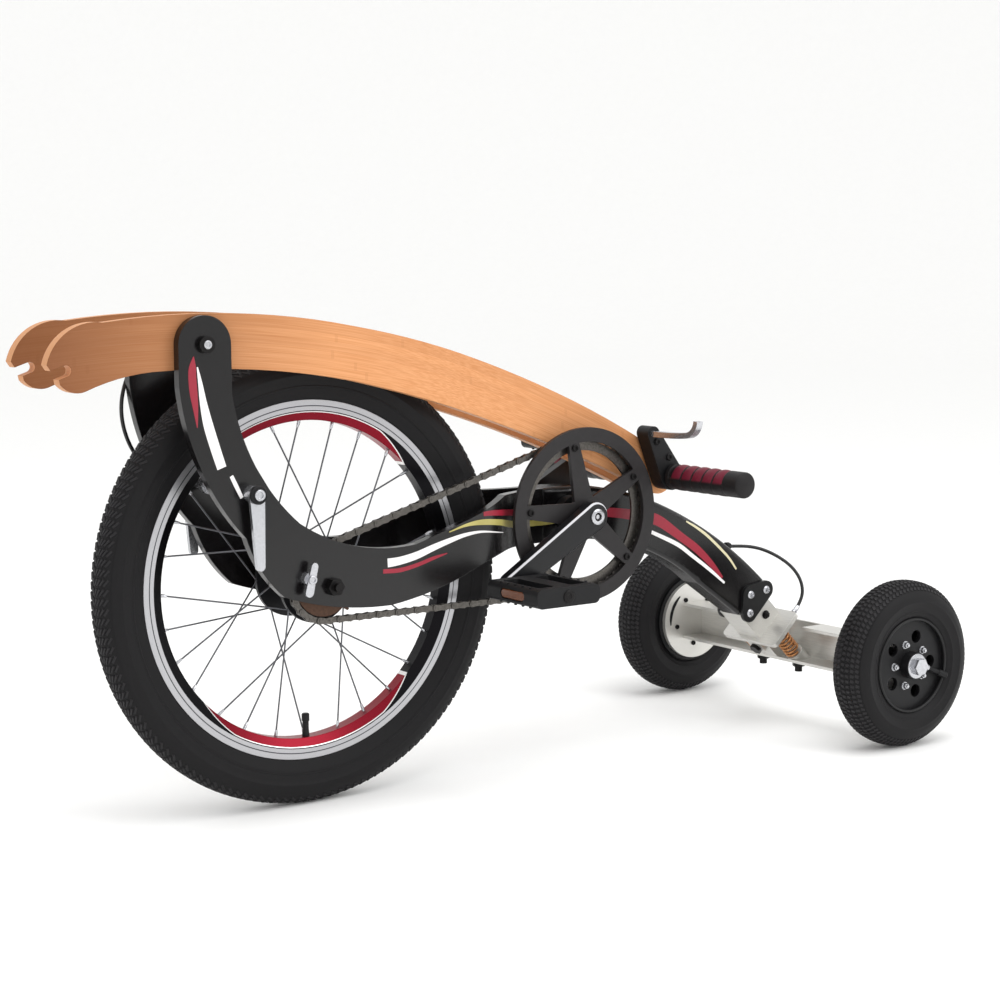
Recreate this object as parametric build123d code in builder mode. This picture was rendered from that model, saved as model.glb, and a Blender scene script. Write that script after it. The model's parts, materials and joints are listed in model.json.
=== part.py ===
import math
import os

from build123d import *

# Folding stand-up tricycle, stored folded.
# Millimetres. Origin on the ground under the front axle, +X to the rear,
# +Y to the rider's right, +Z up. The chain runs on the rider's left, called near.

os.makedirs("parts", exist_ok=True)

# Clearances
seat_gap = 0.2
running_gap = 0.1
side_gap = 0.5

# Front wheel
wheel_radius = 253.5
tyre_half_width = 22.5
tyre_crown_half_width = 11.0
tyre_shoulder_drop = 17.5
tyre_section_height = 51.5
rim_half_width = 13.6
rim_wall = 2.2
rim_well_depth = 7.0
rim_track_depth = 12.0
rim_depth = 23.0
rim_inner_half_width = 8.0
hub_flange_radius = 45.0
hub_flange_centre = 28.0
hub_flange_thickness = 5.0
hub_barrel_radius = 24.0
hub_cap_radius = 18.0
hub_half_length = 36.0
spoke_count = 28
spoke_radius = 1.0
spoke_cross_angle = 38.0
spoke_stagger = 1.6
spoke_rim_offset = 2.0
axle_radius = 5.0
axle_height = wheel_radius
rim_edge_radius = wheel_radius - tyre_section_height
rim_floor_radius = rim_edge_radius - rim_well_depth
rim_inner_radius = rim_edge_radius - rim_depth

# Fork arms, one each side of the wheel, that bend in to the spine behind it
arm_inner = 54.0
arm_thickness = 11.0
arm_outer = arm_inner + arm_thickness
arm_wheel_gap = 66.5
arm_end = wheel_radius + arm_wheel_gap
arm_bend_length = 150.0
arm_bend_start = arm_end - arm_bend_length
arm_top = axle_height + 81.5
arm_bottom = axle_height + 16.5
spine_half_width = 20.0
spine_round = 6.0
arm_head_radius = 30.5

# Fold pivot and lock
pivot_x = -149.5
pivot_rise = 268.5
pivot_z = axle_height + pivot_rise
pivot_radius = 5.0
lock_distance = 167.0
lock_angle = -72.5
fold_angle = 98.0
lock_radius = 5.0
lock_slot_clearance = 0.6

# Handlebar planks
plank_thickness = 14.0
plank_side_gap = 1.0
plank_wide_offset = arm_inner - plank_side_gap - plank_thickness / 2
plank_narrow_offset = 24.0
plank_bend_end = wheel_radius + 76.5
plank_bend_length = 290.0
plank_bend_start = plank_bend_end - plank_bend_length
bar_setback = 170.0
bar_drop = 180.0
bar_x = arm_end + bar_setback
bar_z = pivot_z - bar_drop
bar_radius = 11.1
plank_end_radius = 24.0
grip_start = 62.0
grip_length = 130.0
grip_end = grip_start + grip_length
grip_cap = 4.0
bar_half_length = grip_end - grip_cap
grip_radius = 16.0

# Drive
pitch = 12.7
sprocket_teeth = 20
chainring_teeth = 46
crank_x = arm_end + 37.0
crank_z = axle_height + 50.5
chain_offset = 46.0
chain_width = 8.0
chain_pin_height = 4.2
chain_waist_height = 3.1
sprocket_thickness = 3.0
tooth_height = 2.5
tooth_sink = 1.0
tooth_root_half = 3.4
tooth_tip_half = 1.2
guard_radius = 105.0
guard_inner_radius = 88.0
guard_face = 52.0
guard_thickness = 5.0
guard_arm_count = 5
guard_arm_width = 15.0
guard_arm_root = 30.0
guard_arm_reach = guard_inner_radius + 2.0
guard_hub_radius = 24.0
chainring_bolt_radius = 5.0
spindle_radius = 8.5
bb_radius = 20.8
bb_half_length = 34.0
crank_length = 140.0
crank_angle = 210.0
crank_inner = 64.0
crank_thickness = 14.0
crank_hub_radius = 17.0
crank_eye_radius = 12.5
crank_bevel = 2.0
crank_boss_radius = 15.0
pedal_inner = 86.0
pedal_width = 96.0
pedal_length = 88.0
pedal_height = 22.0
pedal_barrel_half = 11.0
pedal_side_wall = 12.0
pedal_window_round = 5.0
reflector_length = 46.0
reflector_height = 12.0
reflector_recess = 2.0
pedal_axle_radius = 6.0

# Rear truck
wheelbase = 733.0
rear_radius = 104.5
rear_track_half = 211.0
rear_tyre_half_width = 27.5
rear_crown_half_width = 14.0
rear_shoulder_drop = 18.0
rear_rim_radius = 60.0
rear_rim_wall = 4.0
rear_rim_half_width = 21.0
rear_hub_radius = 17.0
rear_disc_offset = 10.0
rear_disc_thickness = 6.0
rear_hole_circle = 36.0
rear_hole_radius = 8.0
rear_spoke_count = 5
stub_radius = 8.0
wheel_beam_gap = 31.0
beam_half_length = rear_track_half - wheel_beam_gap
beam_depth = 38.0
beam_height = 50.0
beam_wall = 4.0
cover_radius = 54.0
cover_thickness = 6.0
truck_slope = 45.0
bracket_half_width = 20.0
bracket_height = 46.0
bracket_length = 44.0
bracket_plate = 6.0
bracket_plate_half = 28.0
kingpin_depth = 64.0
kingpin_radius = 5.0
knuckle_radius = 12.0
knuckle_half_length = 16.5
lug_thickness = 8.0
spring_offset = 34.0
spring_shift = -4.0
spring_radius = 11.0
spring_seat_depth = 91.0

# Truck bracket's place, ahead of the rear axle, and the spine's end face set from it
truck_ahead = 75.0
truck_rise = 55.5
spine_end_lift = 7.0
spine_end_setback = 5.5
spine_end_height = 60.0

# Cables
cable_radius = 2.2
cable_gap = 0.3
cable_arc_share = 0.45

# Worked-out places
side_signs = {"near": -1, "far": 1}
wheel_plane = Plane(origin=(0, 0, axle_height), x_dir=(0, 1, 0), z_dir=(1, 0, 0))
wheel_axis = Axis((0, 0, axle_height), (0, 1, 0))
lock_x = pivot_x + lock_distance * math.cos(math.radians(lock_angle))
lock_z = pivot_z + lock_distance * math.sin(math.radians(lock_angle))
notch_angle = lock_angle - fold_angle
notch_x = pivot_x + lock_distance * math.cos(math.radians(notch_angle))
notch_z = pivot_z + lock_distance * math.sin(math.radians(notch_angle))
sprocket_radius = pitch / (2 * math.sin(math.pi / sprocket_teeth))
chainring_radius = pitch / (2 * math.sin(math.pi / chainring_teeth))
crank_turn = math.radians(crank_angle)
truck_turn = math.radians(truck_slope)
down_rear = Vector(math.sin(truck_turn), 0, -math.cos(truck_turn))
up_rear = Vector(math.cos(truck_turn), 0, math.sin(truck_turn))
truck_origin = Vector(wheelbase - truck_ahead, 0, rear_radius + truck_rise)
spine_end = truck_origin + up_rear * spine_end_lift - down_rear * spine_end_setback


def across(x, z, y):
    """Plane facing +Y at height y, with its origin at x and z."""
    return Plane(origin=(x, y, z), x_dir=(1, 0, 0), z_dir=(0, 1, 0))


def outward(x, z, y, sign):
    """Plane at side distance y whose normal points away from the middle plane."""
    return Plane(origin=(x, sign * y, z), x_dir=(1, 0, 0), z_dir=(0, sign, 0))


def truck_plane(depth, shift=0.0, offset=0.0):
    """Plane facing down and back at a depth behind the truck bracket's origin."""
    origin = truck_origin + down_rear * depth + up_rear * shift + Vector(0, offset, 0)
    return Plane(origin=origin, x_dir=up_rear, z_dir=down_rear)


def beside(origin, steps):
    """Flat X and Z places at steps from an origin."""
    return [(origin[0] + dx, origin[1] + dz) for dx, dz in steps]


def save(builder, label):
    builder.part.label = label
    export_step(builder.part, f"parts/{label}.step")


def cable_tube(points, radius, mode=Mode.ADD):
    """Tube along straight runs and tangent arcs, each arc as large as its runs leave room for."""
    radii = []
    for before, here, after in zip(points, points[1:], points[2:]):
        arriving = Vector(*here) - Vector(*before)
        leaving = Vector(*after) - Vector(*here)
        half_turn = math.radians(arriving.get_angle(leaving)) / 2
        radii.append(cable_arc_share * min(arriving.length, leaving.length) / math.tan(half_turn))
    with BuildLine() as route:
        FilletPolyline(*points, radius=radii)
    with BuildSketch(Plane(origin=route.line @ 0, z_dir=route.line % 0)) as ring:
        Circle(radius)
    sweep(ring.sketch, path=route.line, mode=mode)
    length = sum(edge.length for edge in route.edges())
    print("cable", round(length), "mm long, arcs", [round(radius) for radius in radii])


# Front tyre: flat crown, shoulders and sides that run into the rim's channel
with BuildPart() as front_tyre:
    with BuildSketch(wheel_plane):
        with BuildLine():
            shoulder_radius = wheel_radius - tyre_shoulder_drop
            mouth_half_width = rim_half_width - rim_wall - seat_gap
            side_slope = (tyre_half_width - mouth_half_width) / (shoulder_radius - rim_edge_radius)
            foot_half_width = mouth_half_width - side_slope * (rim_well_depth - seat_gap)
            right = [
                (foot_half_width, rim_floor_radius + seat_gap),
                (tyre_half_width, shoulder_radius),
                (tyre_crown_half_width, wheel_radius),
            ]
            left = [(-y, r) for y, r in reversed(right)]
            Polyline(*right, *left, close=True)
        make_face()
    revolve(axis=wheel_axis)
save(front_tyre, "front_tyre")

# Front rim, a channel for the tyre over a box
with BuildPart() as front_rim:
    with BuildSketch(wheel_plane):
        with BuildLine():
            rim_track_foot = rim_edge_radius - rim_track_depth
            right = [
                (rim_inner_half_width, rim_inner_radius),
                (rim_half_width, rim_track_foot),
                (rim_half_width, rim_edge_radius),
                (rim_half_width - rim_wall, rim_edge_radius),
                (rim_half_width - rim_wall, rim_floor_radius),
            ]
            left = [(-y, r) for y, r in reversed(right)]
            Polyline(*right, *left, close=True)
        make_face()
    revolve(axis=wheel_axis)
save(front_rim, "front_rim")

# Front hub with two tall flanges
with BuildPart() as front_hub:
    with BuildSketch(wheel_plane):
        Rectangle(2 * hub_half_length, 2 * hub_cap_radius)
        Rectangle(2 * hub_flange_centre, 2 * hub_barrel_radius)
        with Locations((hub_flange_centre, 0), (-hub_flange_centre, 0)):
            Rectangle(hub_flange_thickness, 2 * hub_flange_radius)
        bore = axle_radius + running_gap
        cut_depth = hub_flange_radius + bore
        with Locations((0, bore - cut_depth / 2)):
            Rectangle(2 * hub_half_length + 1, cut_depth, mode=Mode.SUBTRACT)
    revolve(axis=wheel_axis)
save(front_hub, "front_hub")

# Spokes, crossed, from each flange's edge to the rim
with BuildPart() as front_spokes:
    for index in range(spoke_count):
        flange_side = 1 if index % 2 else -1
        lean = 1 if (index // 2) % 2 else -1
        rim_turn = math.radians(360 * index / spoke_count)
        hub_turn = rim_turn + lean * math.radians(spoke_cross_angle)
        hub_reach = hub_flange_radius + spoke_radius + seat_gap
        rim_reach = rim_inner_radius - spoke_radius
        start = Vector(
            hub_reach * math.cos(hub_turn),
            flange_side * (hub_flange_centre + lean * spoke_stagger),
            axle_height + hub_reach * math.sin(hub_turn),
        )
        finish = Vector(
            rim_reach * math.cos(rim_turn),
            flange_side * spoke_rim_offset,
            axle_height + rim_reach * math.sin(rim_turn),
        )
        with BuildSketch(Plane(origin=start, z_dir=finish - start)):
            Circle(spoke_radius)
        extrude(amount=(finish - start).length)
save(front_spokes, "front_spokes")

# Fork arms: a side outline cut to a plate that bends in towards the spine
# Steps along X and Z from the pivot, the axle and the spine's joint
axle = (0, axle_height)
pivot = (pivot_x, pivot_z)
inner_at_joint = beside((arm_end, arm_top), [(0, 0), (-70, -1), (-141, -23), (-210, -44)])
inner_at_axle = beside(axle, [(21, 44.5), (-40, 72.5)])
inner_at_pivot = beside(pivot, [(58, -133), (arm_head_radius, -52)])
outer_at_pivot = beside(pivot, [(-arm_head_radius, -44), (-12.5, -118)])
outer_at_axle = beside(axle, [(-105.5, 61.5), (-85.5, 21.5), (-60, -6.5), (6, -23.5), (75, -28.5)])
outer_at_joint = beside((arm_end, arm_bottom), [(-195, -36), (-141, -19), (-103, -7), (-50, 0), (0, 0)])
bend_shift = arm_inner + arm_thickness - spine_half_width
bend_radius = (arm_bend_length**2 + bend_shift**2) / (4 * bend_shift)
bend_turn = math.degrees(math.asin(arm_bend_length / 2 / bend_radius))
for tag, sign in side_signs.items():
    with BuildPart() as arm:
        with BuildSketch(Plane.XZ):
            with BuildLine():
                head_front, head_top, head_rear = beside(
                    pivot, [(-arm_head_radius, 0), (0, arm_head_radius), (arm_head_radius, 0)]
                )
                Line(inner_at_joint[0], inner_at_joint[1])
                ThreePointArc(*inner_at_joint[1:])
                ThreePointArc(inner_at_joint[3], *inner_at_axle)
                ThreePointArc(inner_at_axle[1], *inner_at_pivot)
                Line(inner_at_pivot[1], head_rear)
                ThreePointArc(head_rear, head_top, head_front)
                Line(head_front, outer_at_pivot[0])
                ThreePointArc(*outer_at_pivot, outer_at_axle[0])
                ThreePointArc(*outer_at_axle[:3])
                ThreePointArc(*outer_at_axle[2:])
                ThreePointArc(outer_at_axle[4], *outer_at_joint[:2])
                ThreePointArc(*outer_at_joint[1:4])
                Line(outer_at_joint[3], outer_at_joint[4])
                Line(outer_at_joint[4], inner_at_joint[0])
            make_face()
        extrude(amount=arm_outer + 1, both=True)
        with BuildSketch(Plane.XY):
            with BuildLine():
                plate_y = sign * (arm_inner + arm_thickness / 2)
                run = Line((pivot_x - 2 * arm_head_radius, plate_y), (arm_bend_start, plate_y))
                first = JernArc(run @ 1, run % 1, bend_radius, -sign * bend_turn)
                JernArc(first @ 1, first % 1, bend_radius, sign * bend_turn)
            trace(line_width=arm_thickness)
        extrude(amount=pivot_z + 2 * arm_head_radius, mode=Mode.INTERSECT)
        for hole_x, hole_z, hole_radius in (
            (pivot_x, pivot_z, pivot_radius),
            (lock_x, lock_z, lock_radius),
            (0, axle_height, axle_radius),
        ):
            with BuildSketch(across(hole_x, hole_z, 0)):
                Circle(hole_radius + running_gap)
            extrude(amount=arm_outer + 1, both=True, mode=Mode.SUBTRACT)
    save(arm, f"arm_{tag}")

# Rear cable's route, from the spine's top to the truck bracket's plate
# Steps along X, Y and Z from the bracket's origin
rear_cable_steps = [
    (-40, 0, 77),
    (-6, 0, 75.5),
    (24, -4, 71),
    (48, -13, 60),
    (66, -26, 44),
    (73, -37, 24),
]
rear_cable_side = -42.0
rear_cable_lead = 22.0
cable_seat_depth = bracket_length + bracket_plate / 2
cable_end = truck_plane(cable_seat_depth, bracket_plate_half + cable_gap, rear_cable_side).origin
rear_cable_points = [tuple(truck_origin + Vector(*step)) for step in rear_cable_steps]
rear_cable_points += [tuple(cable_end + up_rear * rear_cable_lead), tuple(cable_end)]

# Spine, a box beam with rounded edges from the arms, under the folded bar and down to the truck
# Shares of the way along X and of the drop from the arms' joint to the spine's end
spine_under_shares = [(0.783, 0.607), (0.575, 0.262), (0.346, 0.066), (0.173, 0.008)]
spine_shoulder = (bar_x + 12.0, bar_z - 38.0)
spine_crest_sagitta = 10.5
with BuildPart() as spine:
    with BuildSketch(Plane.XZ):
        with BuildLine():
            end_top = spine_end + up_rear * (spine_end_height / 2)
            end_bottom = spine_end - up_rear * (spine_end_height / 2)
            under = [
                (
                    arm_end + along * (end_bottom.X - arm_end),
                    arm_bottom + down * (end_bottom.Z - arm_bottom),
                )
                for along, down in spine_under_shares
            ]
            Line((arm_end, arm_bottom), (arm_end, arm_top))
            crest = SagittaArc((arm_end, arm_top), spine_shoulder, spine_crest_sagitta)
            TangentArc(spine_shoulder, (end_top.X, end_top.Z), tangent=crest % 1)
            Line((end_top.X, end_top.Z), (end_bottom.X, end_bottom.Z))
            Line((end_bottom.X, end_bottom.Z), under[0])
            ThreePointArc(*under[:3])
            ThreePointArc(*under[2:], (arm_end, arm_bottom))
        make_face()
    extrude(amount=spine_half_width, both=True)
    long_edges = [
        edge
        for edge in spine.edges()
        if abs(abs(edge.center().Y) - spine_half_width) < seat_gap
        and edge.center().X > arm_end + seat_gap
    ]
    fillet(long_edges, spine_round)
    with BuildSketch(across(crank_x, crank_z, 0)):
        Circle(bb_radius + seat_gap)
    extrude(amount=spine_half_width + 1, both=True, mode=Mode.SUBTRACT)
    cable_tube(rear_cable_points, cable_radius + cable_gap, Mode.SUBTRACT)
save(spine, "spine")

with BuildPart() as rear_cable:
    cable_tube(rear_cable_points, cable_radius)
save(rear_cable, "rear_cable")

# Front brake cable, bowed ahead of the far arm and held on its outer face
front_cable_y = arm_outer + cable_radius + cable_gap
# Steps along X and Z from the pivot
front_cable_steps = [
    (-16, -14),
    (-27, -38),
    (-34.5, -62),
    (-34.5, -86),
    (-27.5, -110),
    (-14, -132),
    (3, -152),
]
with BuildPart() as front_cable:
    cable_tube([(x, front_cable_y, z) for x, z in beside(pivot, front_cable_steps)], cable_radius)
save(front_cable, "front_cable")

# Bottom bracket shell
with BuildPart() as bb_shell:
    with BuildSketch(across(crank_x, crank_z, 0)):
        Circle(bb_radius)
        Circle(spindle_radius + running_gap, mode=Mode.SUBTRACT)
    extrude(amount=bb_half_length, both=True)
save(bb_shell, "bb_shell")

# Front axle with its cones and outer nuts
axle_nut_radius = 10.0
axle_nut_height = 9.0
axle_tip = 6.0
cone_radius = 9.0
sprocket_core_end = chain_offset + chain_width / 2 + 4 * side_gap
with BuildPart() as front_axle:
    with BuildSketch(across(0, axle_height, 0)):
        Circle(axle_radius)
    extrude(amount=arm_outer + axle_nut_height + axle_tip, both=True)
    for sign in side_signs.values():
        with BuildSketch(outward(0, axle_height, arm_outer, sign)):
            RegularPolygon(axle_nut_radius, 6)
        extrude(amount=axle_nut_height)
        cone_start = sprocket_core_end if sign < 0 else hub_half_length + side_gap
        with BuildSketch(outward(0, axle_height, cone_start, sign)):
            Circle(cone_radius)
        extrude(amount=arm_inner - cone_start)
save(front_axle, "front_axle")

# Fold pivot bolt through both arms and both planks
pivot_head_radius = 9.0
pivot_head_height = 6.0
with BuildPart() as pivot_bolt:
    with BuildSketch(across(pivot_x, pivot_z, 0)):
        Circle(pivot_radius)
    extrude(amount=arm_outer + pivot_head_height, both=True)
    for sign in side_signs.values():
        with BuildSketch(outward(pivot_x, pivot_z, arm_outer, sign)):
            Circle(pivot_head_radius)
        extrude(amount=pivot_head_height)
save(pivot_bolt, "pivot_bolt")

# Lock bolts, each with a lever outside and a nut inside the plank
plank_wide_inner = plank_wide_offset - plank_thickness / 2
lock_nut_radius = 9.0
lock_nut_height = 9.0
lock_knob_radius = 9.0
lock_knob_height = 10.0
lever_length = 77.0
lever_lean = 3.0
lever_tip_radius = 5.0
lever_thickness = 5.0
for tag, sign in side_signs.items():
    with BuildPart() as lock_bolt:
        nut_face = plank_wide_inner - plank_side_gap
        with BuildSketch(outward(lock_x, lock_z, nut_face - lock_nut_height, sign)):
            Circle(lock_nut_radius)
        extrude(amount=lock_nut_height)
        with BuildSketch(outward(lock_x, lock_z, nut_face, sign)):
            Circle(lock_radius)
        extrude(amount=arm_outer - nut_face)
        with BuildSketch(outward(lock_x, lock_z, arm_outer, sign)):
            Circle(lock_knob_radius)
        extrude(amount=lock_knob_height)
    save(lock_bolt, f"lock_bolt_{tag}")
    with BuildPart() as lock_lever:
        lever_face = arm_outer + lock_knob_height
        with BuildSketch(outward(lock_x, lock_z, lever_face, sign)):
            Circle(lock_knob_radius)
            with Locations((lever_lean, sign * lever_length)):
                Circle(lever_tip_radius)
            make_hull()
        extrude(amount=lever_thickness)
    save(lock_lever, f"lock_lever_{tag}")

# Axle clamp with a short lever on the near arm
clamp_x = -33.0
clamp_z = axle_height + 12.0
clamp_radius = 7.5
clamp_height = 9.0
clamp_lever_reach = 14.0
clamp_lever_lean = 3.5
clamp_lever_tip = 4.0
clamp_lever_heel = 5.0
clamp_lever_thickness = 4.0
with BuildPart() as axle_clamp:
    with BuildSketch(outward(clamp_x, clamp_z, arm_outer, -1)):
        Circle(clamp_radius)
    extrude(amount=clamp_height)
    with BuildSketch(outward(clamp_x, clamp_z, arm_outer + clamp_height, -1)):
        with Locations((clamp_lever_lean, clamp_lever_reach)):
            Circle(clamp_lever_tip)
        with Locations((-clamp_lever_lean, -clamp_lever_reach)):
            Circle(clamp_lever_heel)
        make_hull()
    extrude(amount=clamp_lever_thickness)
save(axle_clamp, "axle_clamp")

# Chain route: tangent lines between two pitch circles
centre_dx = crank_x
centre_dz = crank_z - axle_height
centre_distance = math.hypot(centre_dx, centre_dz)
centre_turn = math.atan2(centre_dz, centre_dx)
tangent_turn = math.asin((chainring_radius - sprocket_radius) / centre_distance)
tangent_length = centre_distance * math.cos(tangent_turn)
upper_normal = math.pi / 2 + centre_turn + tangent_turn
lower_normal = -math.pi / 2 + centre_turn - tangent_turn
front_wrap = 2 * math.pi + lower_normal - upper_normal
rear_wrap = upper_normal - lower_normal
chain_length = 2 * tangent_length + front_wrap * sprocket_radius + rear_wrap * chainring_radius
link_count = 2 * round(chain_length / pitch / 2)


def chain_place(travel):
    """Point on the chain's line, its outward normal angle, and whether it lies on a sprocket."""
    legs = (
        (front_wrap * sprocket_radius, "front"),
        (tangent_length, "lower"),
        (rear_wrap * chainring_radius, "rear"),
        (tangent_length, "upper"),
    )
    for length, leg in legs:
        if travel <= length:
            break
        travel -= length
    if leg in ("front", "lower"):
        turn = upper_normal + travel / sprocket_radius if leg == "front" else lower_normal
        x, z, radius = 0, axle_height, sprocket_radius
    else:
        turn = lower_normal + travel / chainring_radius if leg == "rear" else upper_normal
        x, z, radius = crank_x, crank_z, chainring_radius
    x += radius * math.cos(turn)
    z += radius * math.sin(turn)
    if leg in ("lower", "upper"):
        x -= travel * math.sin(turn)
        z += travel * math.cos(turn)
    return x, z, turn, leg in ("front", "rear")


def free_teeth(count, radius, middle, wrap):
    """Angles in degrees of the teeth that the chain leaves bare, spread from the free arc's middle."""
    lift_off = math.acos((radius - chain_pin_height - side_gap) / (radius + tooth_height))
    half_arc = math.pi - wrap / 2 - lift_off
    most = int(half_arc / (2 * math.pi / count))
    return [math.degrees(middle) + 360 * step / count for step in range(-most, most + 1)]


def add_teeth(angles, radius):
    """Draw teeth on a sprocket's root circle into the open sketch."""
    root = radius - chain_pin_height - side_gap - tooth_sink
    tip = radius + tooth_height
    for angle in angles:
        with Locations(Location((0, 0), angle)):
            Polygon(
                (root, -tooth_root_half),
                (tip, -tooth_tip_half),
                (tip, tooth_tip_half),
                (root, tooth_root_half),
                align=None,
            )


# Chain, one closed loop with a waist in each link
with BuildPart() as chain:
    with BuildSketch(Plane.XZ.offset(chain_offset)):
        for edge, mode in ((1, Mode.ADD), (-1, Mode.SUBTRACT)):
            outline = []
            for half_link in range(2 * link_count):
                x, z, turn, meshed = chain_place(half_link * chain_length / link_count / 2)
                if half_link % 2 and meshed and edge < 0:
                    continue
                height = chain_waist_height if half_link % 2 else chain_pin_height
                outline.append(
                    (x + edge * height * math.cos(turn), z + edge * height * math.sin(turn))
                )
            with BuildLine():
                Polyline(*outline, close=True)
            make_face(mode=mode)
    extrude(amount=chain_width / 2, both=True)
save(chain, "chain")

# Rear sprocket on its driver core
sprocket_core_radius = 17.0
with BuildPart() as sprocket:
    with BuildSketch(outward(0, axle_height, hub_half_length + side_gap, -1)):
        Circle(sprocket_core_radius)
    extrude(amount=sprocket_core_end - hub_half_length - side_gap)
    with BuildSketch(outward(0, axle_height, chain_offset - sprocket_thickness / 2, -1)):
        Circle(sprocket_radius - chain_pin_height - side_gap)
        add_teeth(free_teeth(sprocket_teeth, sprocket_radius, centre_turn, front_wrap), sprocket_radius)
    extrude(amount=sprocket_thickness)
    with BuildSketch(across(0, axle_height, 0)):
        Circle(axle_radius + running_gap)
    extrude(amount=arm_outer, both=True, mode=Mode.SUBTRACT)
save(sprocket, "sprocket")

# Crank spindle through the bottom bracket
with BuildPart() as crank_spindle:
    with BuildSketch(across(crank_x, crank_z, 0)):
        Circle(spindle_radius)
    extrude(amount=crank_inner + crank_thickness, both=True)
save(crank_spindle, "crank_spindle")

# Chainring behind the guard
bolt_circle = 83.0
chainring_inner = 77.0
with BuildPart() as chainring:
    with BuildSketch(outward(crank_x, crank_z, chain_offset - sprocket_thickness / 2, -1)):
        Circle(chainring_radius - chain_pin_height - side_gap)
        Circle(chainring_inner, mode=Mode.SUBTRACT)
        free_middle = centre_turn + math.pi
        add_teeth(free_teeth(chainring_teeth, chainring_radius, free_middle, rear_wrap), chainring_radius)
    extrude(amount=sprocket_thickness)
save(chainring, "chainring")

# Chain guard ring with a five-arm spider and bosses for the chainring
with BuildPart() as chain_guard:
    with BuildSketch(outward(crank_x, crank_z, guard_face, -1)):
        Circle(guard_radius)
        Circle(guard_inner_radius, mode=Mode.SUBTRACT)
        Circle(guard_hub_radius)
        first_arm = crank_angle + 180 / guard_arm_count
        with PolarLocations(0, guard_arm_count, start_angle=first_arm):
            Polygon(
                (0, -guard_arm_root / 2),
                (guard_arm_reach, -guard_arm_width / 2),
                (guard_arm_reach, guard_arm_width / 2),
                (0, guard_arm_root / 2),
                align=None,
            )
    extrude(amount=guard_thickness)
    boss_start = chain_offset + sprocket_thickness / 2
    with BuildSketch(outward(crank_x, crank_z, boss_start, -1)):
        with PolarLocations(bolt_circle, guard_arm_count, start_angle=first_arm):
            Circle(chainring_bolt_radius)
    extrude(amount=guard_face - boss_start)
    with BuildSketch(across(crank_x, crank_z, 0)):
        Circle(spindle_radius + running_gap)
    extrude(amount=guard_radius, both=True, mode=Mode.SUBTRACT)
save(chain_guard, "chain_guard")

# Cranks, one half turn apart
for tag, sign in side_signs.items():
    turn = crank_turn if tag == "near" else crank_turn + math.pi
    eye_x = crank_length * math.cos(turn)
    eye_z = sign * -1 * crank_length * math.sin(turn)
    boss_start = guard_face + guard_thickness if tag == "near" else bb_half_length + side_gap
    with BuildPart() as crank:
        with BuildSketch(outward(crank_x, crank_z, crank_inner, sign)):
            Circle(crank_hub_radius)
            with Locations((eye_x, eye_z)):
                Circle(crank_eye_radius)
            make_hull()
        extrude(amount=crank_thickness)
        chamfer(crank.faces().sort_by(Axis.Y)[0 if sign < 0 else -1].edges(), crank_bevel)
        with BuildSketch(outward(crank_x, crank_z, boss_start, sign)):
            Circle(crank_boss_radius)
        extrude(amount=crank_inner - boss_start)
        with BuildSketch(across(crank_x, crank_z, 0)):
            Circle(spindle_radius + running_gap)
        extrude(amount=guard_radius, both=True, mode=Mode.SUBTRACT)
    save(crank, f"crank_{tag}")

    # Pedal with two windows beside its barrel and a recess for a reflector at each end
    pedal_x = crank_x + eye_x
    pedal_z = crank_z - sign * eye_z
    with BuildPart() as pedal:
        with BuildSketch(across(pedal_x, pedal_z, sign * (pedal_inner + pedal_width / 2))):
            RectangleRounded(pedal_length, pedal_height, pedal_height / 3)
        extrude(amount=pedal_width / 2, both=True)
        window_length = pedal_length / 2 - 2 * pedal_barrel_half
        window_centre = pedal_length / 4
        with BuildSketch(Plane(origin=(pedal_x, sign * (pedal_inner + pedal_width / 2), pedal_z))):
            with Locations((window_centre, 0), (-window_centre, 0)):
                RectangleRounded(window_length, pedal_width - 2 * pedal_side_wall, pedal_window_round)
        extrude(amount=pedal_height, both=True, mode=Mode.SUBTRACT)
        for way in (1, -1):
            recess_x = pedal_x + way * (pedal_length / 2 - reflector_recess)
            recess_y = sign * (pedal_inner + pedal_width / 2)
            recess = Plane(origin=(recess_x, recess_y, pedal_z), x_dir=(0, 1, 0), z_dir=(way, 0, 0))
            with BuildSketch(recess):
                SlotOverall(reflector_length, reflector_height)
            extrude(amount=pedal_height, mode=Mode.SUBTRACT)
        with BuildSketch(outward(pedal_x, pedal_z, crank_inner + crank_thickness, sign)):
            Circle(pedal_axle_radius)
        extrude(amount=pedal_inner - crank_inner - crank_thickness)
    save(pedal, f"pedal_{tag}")

# Handlebar planks: a side outline cut to a board that bends in behind the wheel
# Steps along X and Z from the pivot and the bar
tip_top = beside(pivot, [(-170, -16), (-154, 11), (-108, 25), (22, 32), (186, 15)])
back_top = beside((bar_x, bar_z), [(-244, 141), (-29, 46)])
back_under = beside((bar_x, bar_z), [(-200, 60)])
tip_under = beside(
    pivot, [(185, -45), (54, -28), (-55, -27), (-94, -33), (-130, -44.5), (-148, -43), (-158, -34)]
)
plank_end_slope = 33.0
plank_slope = math.radians(plank_end_slope)
end_top = (
    bar_x + plank_end_radius * math.sin(plank_slope),
    bar_z + plank_end_radius * math.cos(plank_slope),
)
end_tip = (
    bar_x + plank_end_radius * math.cos(plank_slope),
    bar_z - plank_end_radius * math.sin(plank_slope),
)
end_bottom = (
    bar_x - plank_end_radius * math.sin(plank_slope),
    bar_z - plank_end_radius * math.cos(plank_slope),
)
slot_radius = lock_radius + lock_slot_clearance
slot_lead = (15.2, 5.1)
slot_end = (notch_x + slot_lead[0], notch_z + slot_lead[1])
slot_turn = math.atan2(notch_z - slot_end[1], notch_x - slot_end[0])
slot_length = 60.0
lobe_trim = 1.5
lobe_radius = lock_distance - lock_radius - lobe_trim
sweep_radius = lock_distance + 3 * lock_radius
sweep_turn = 20.0
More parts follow.
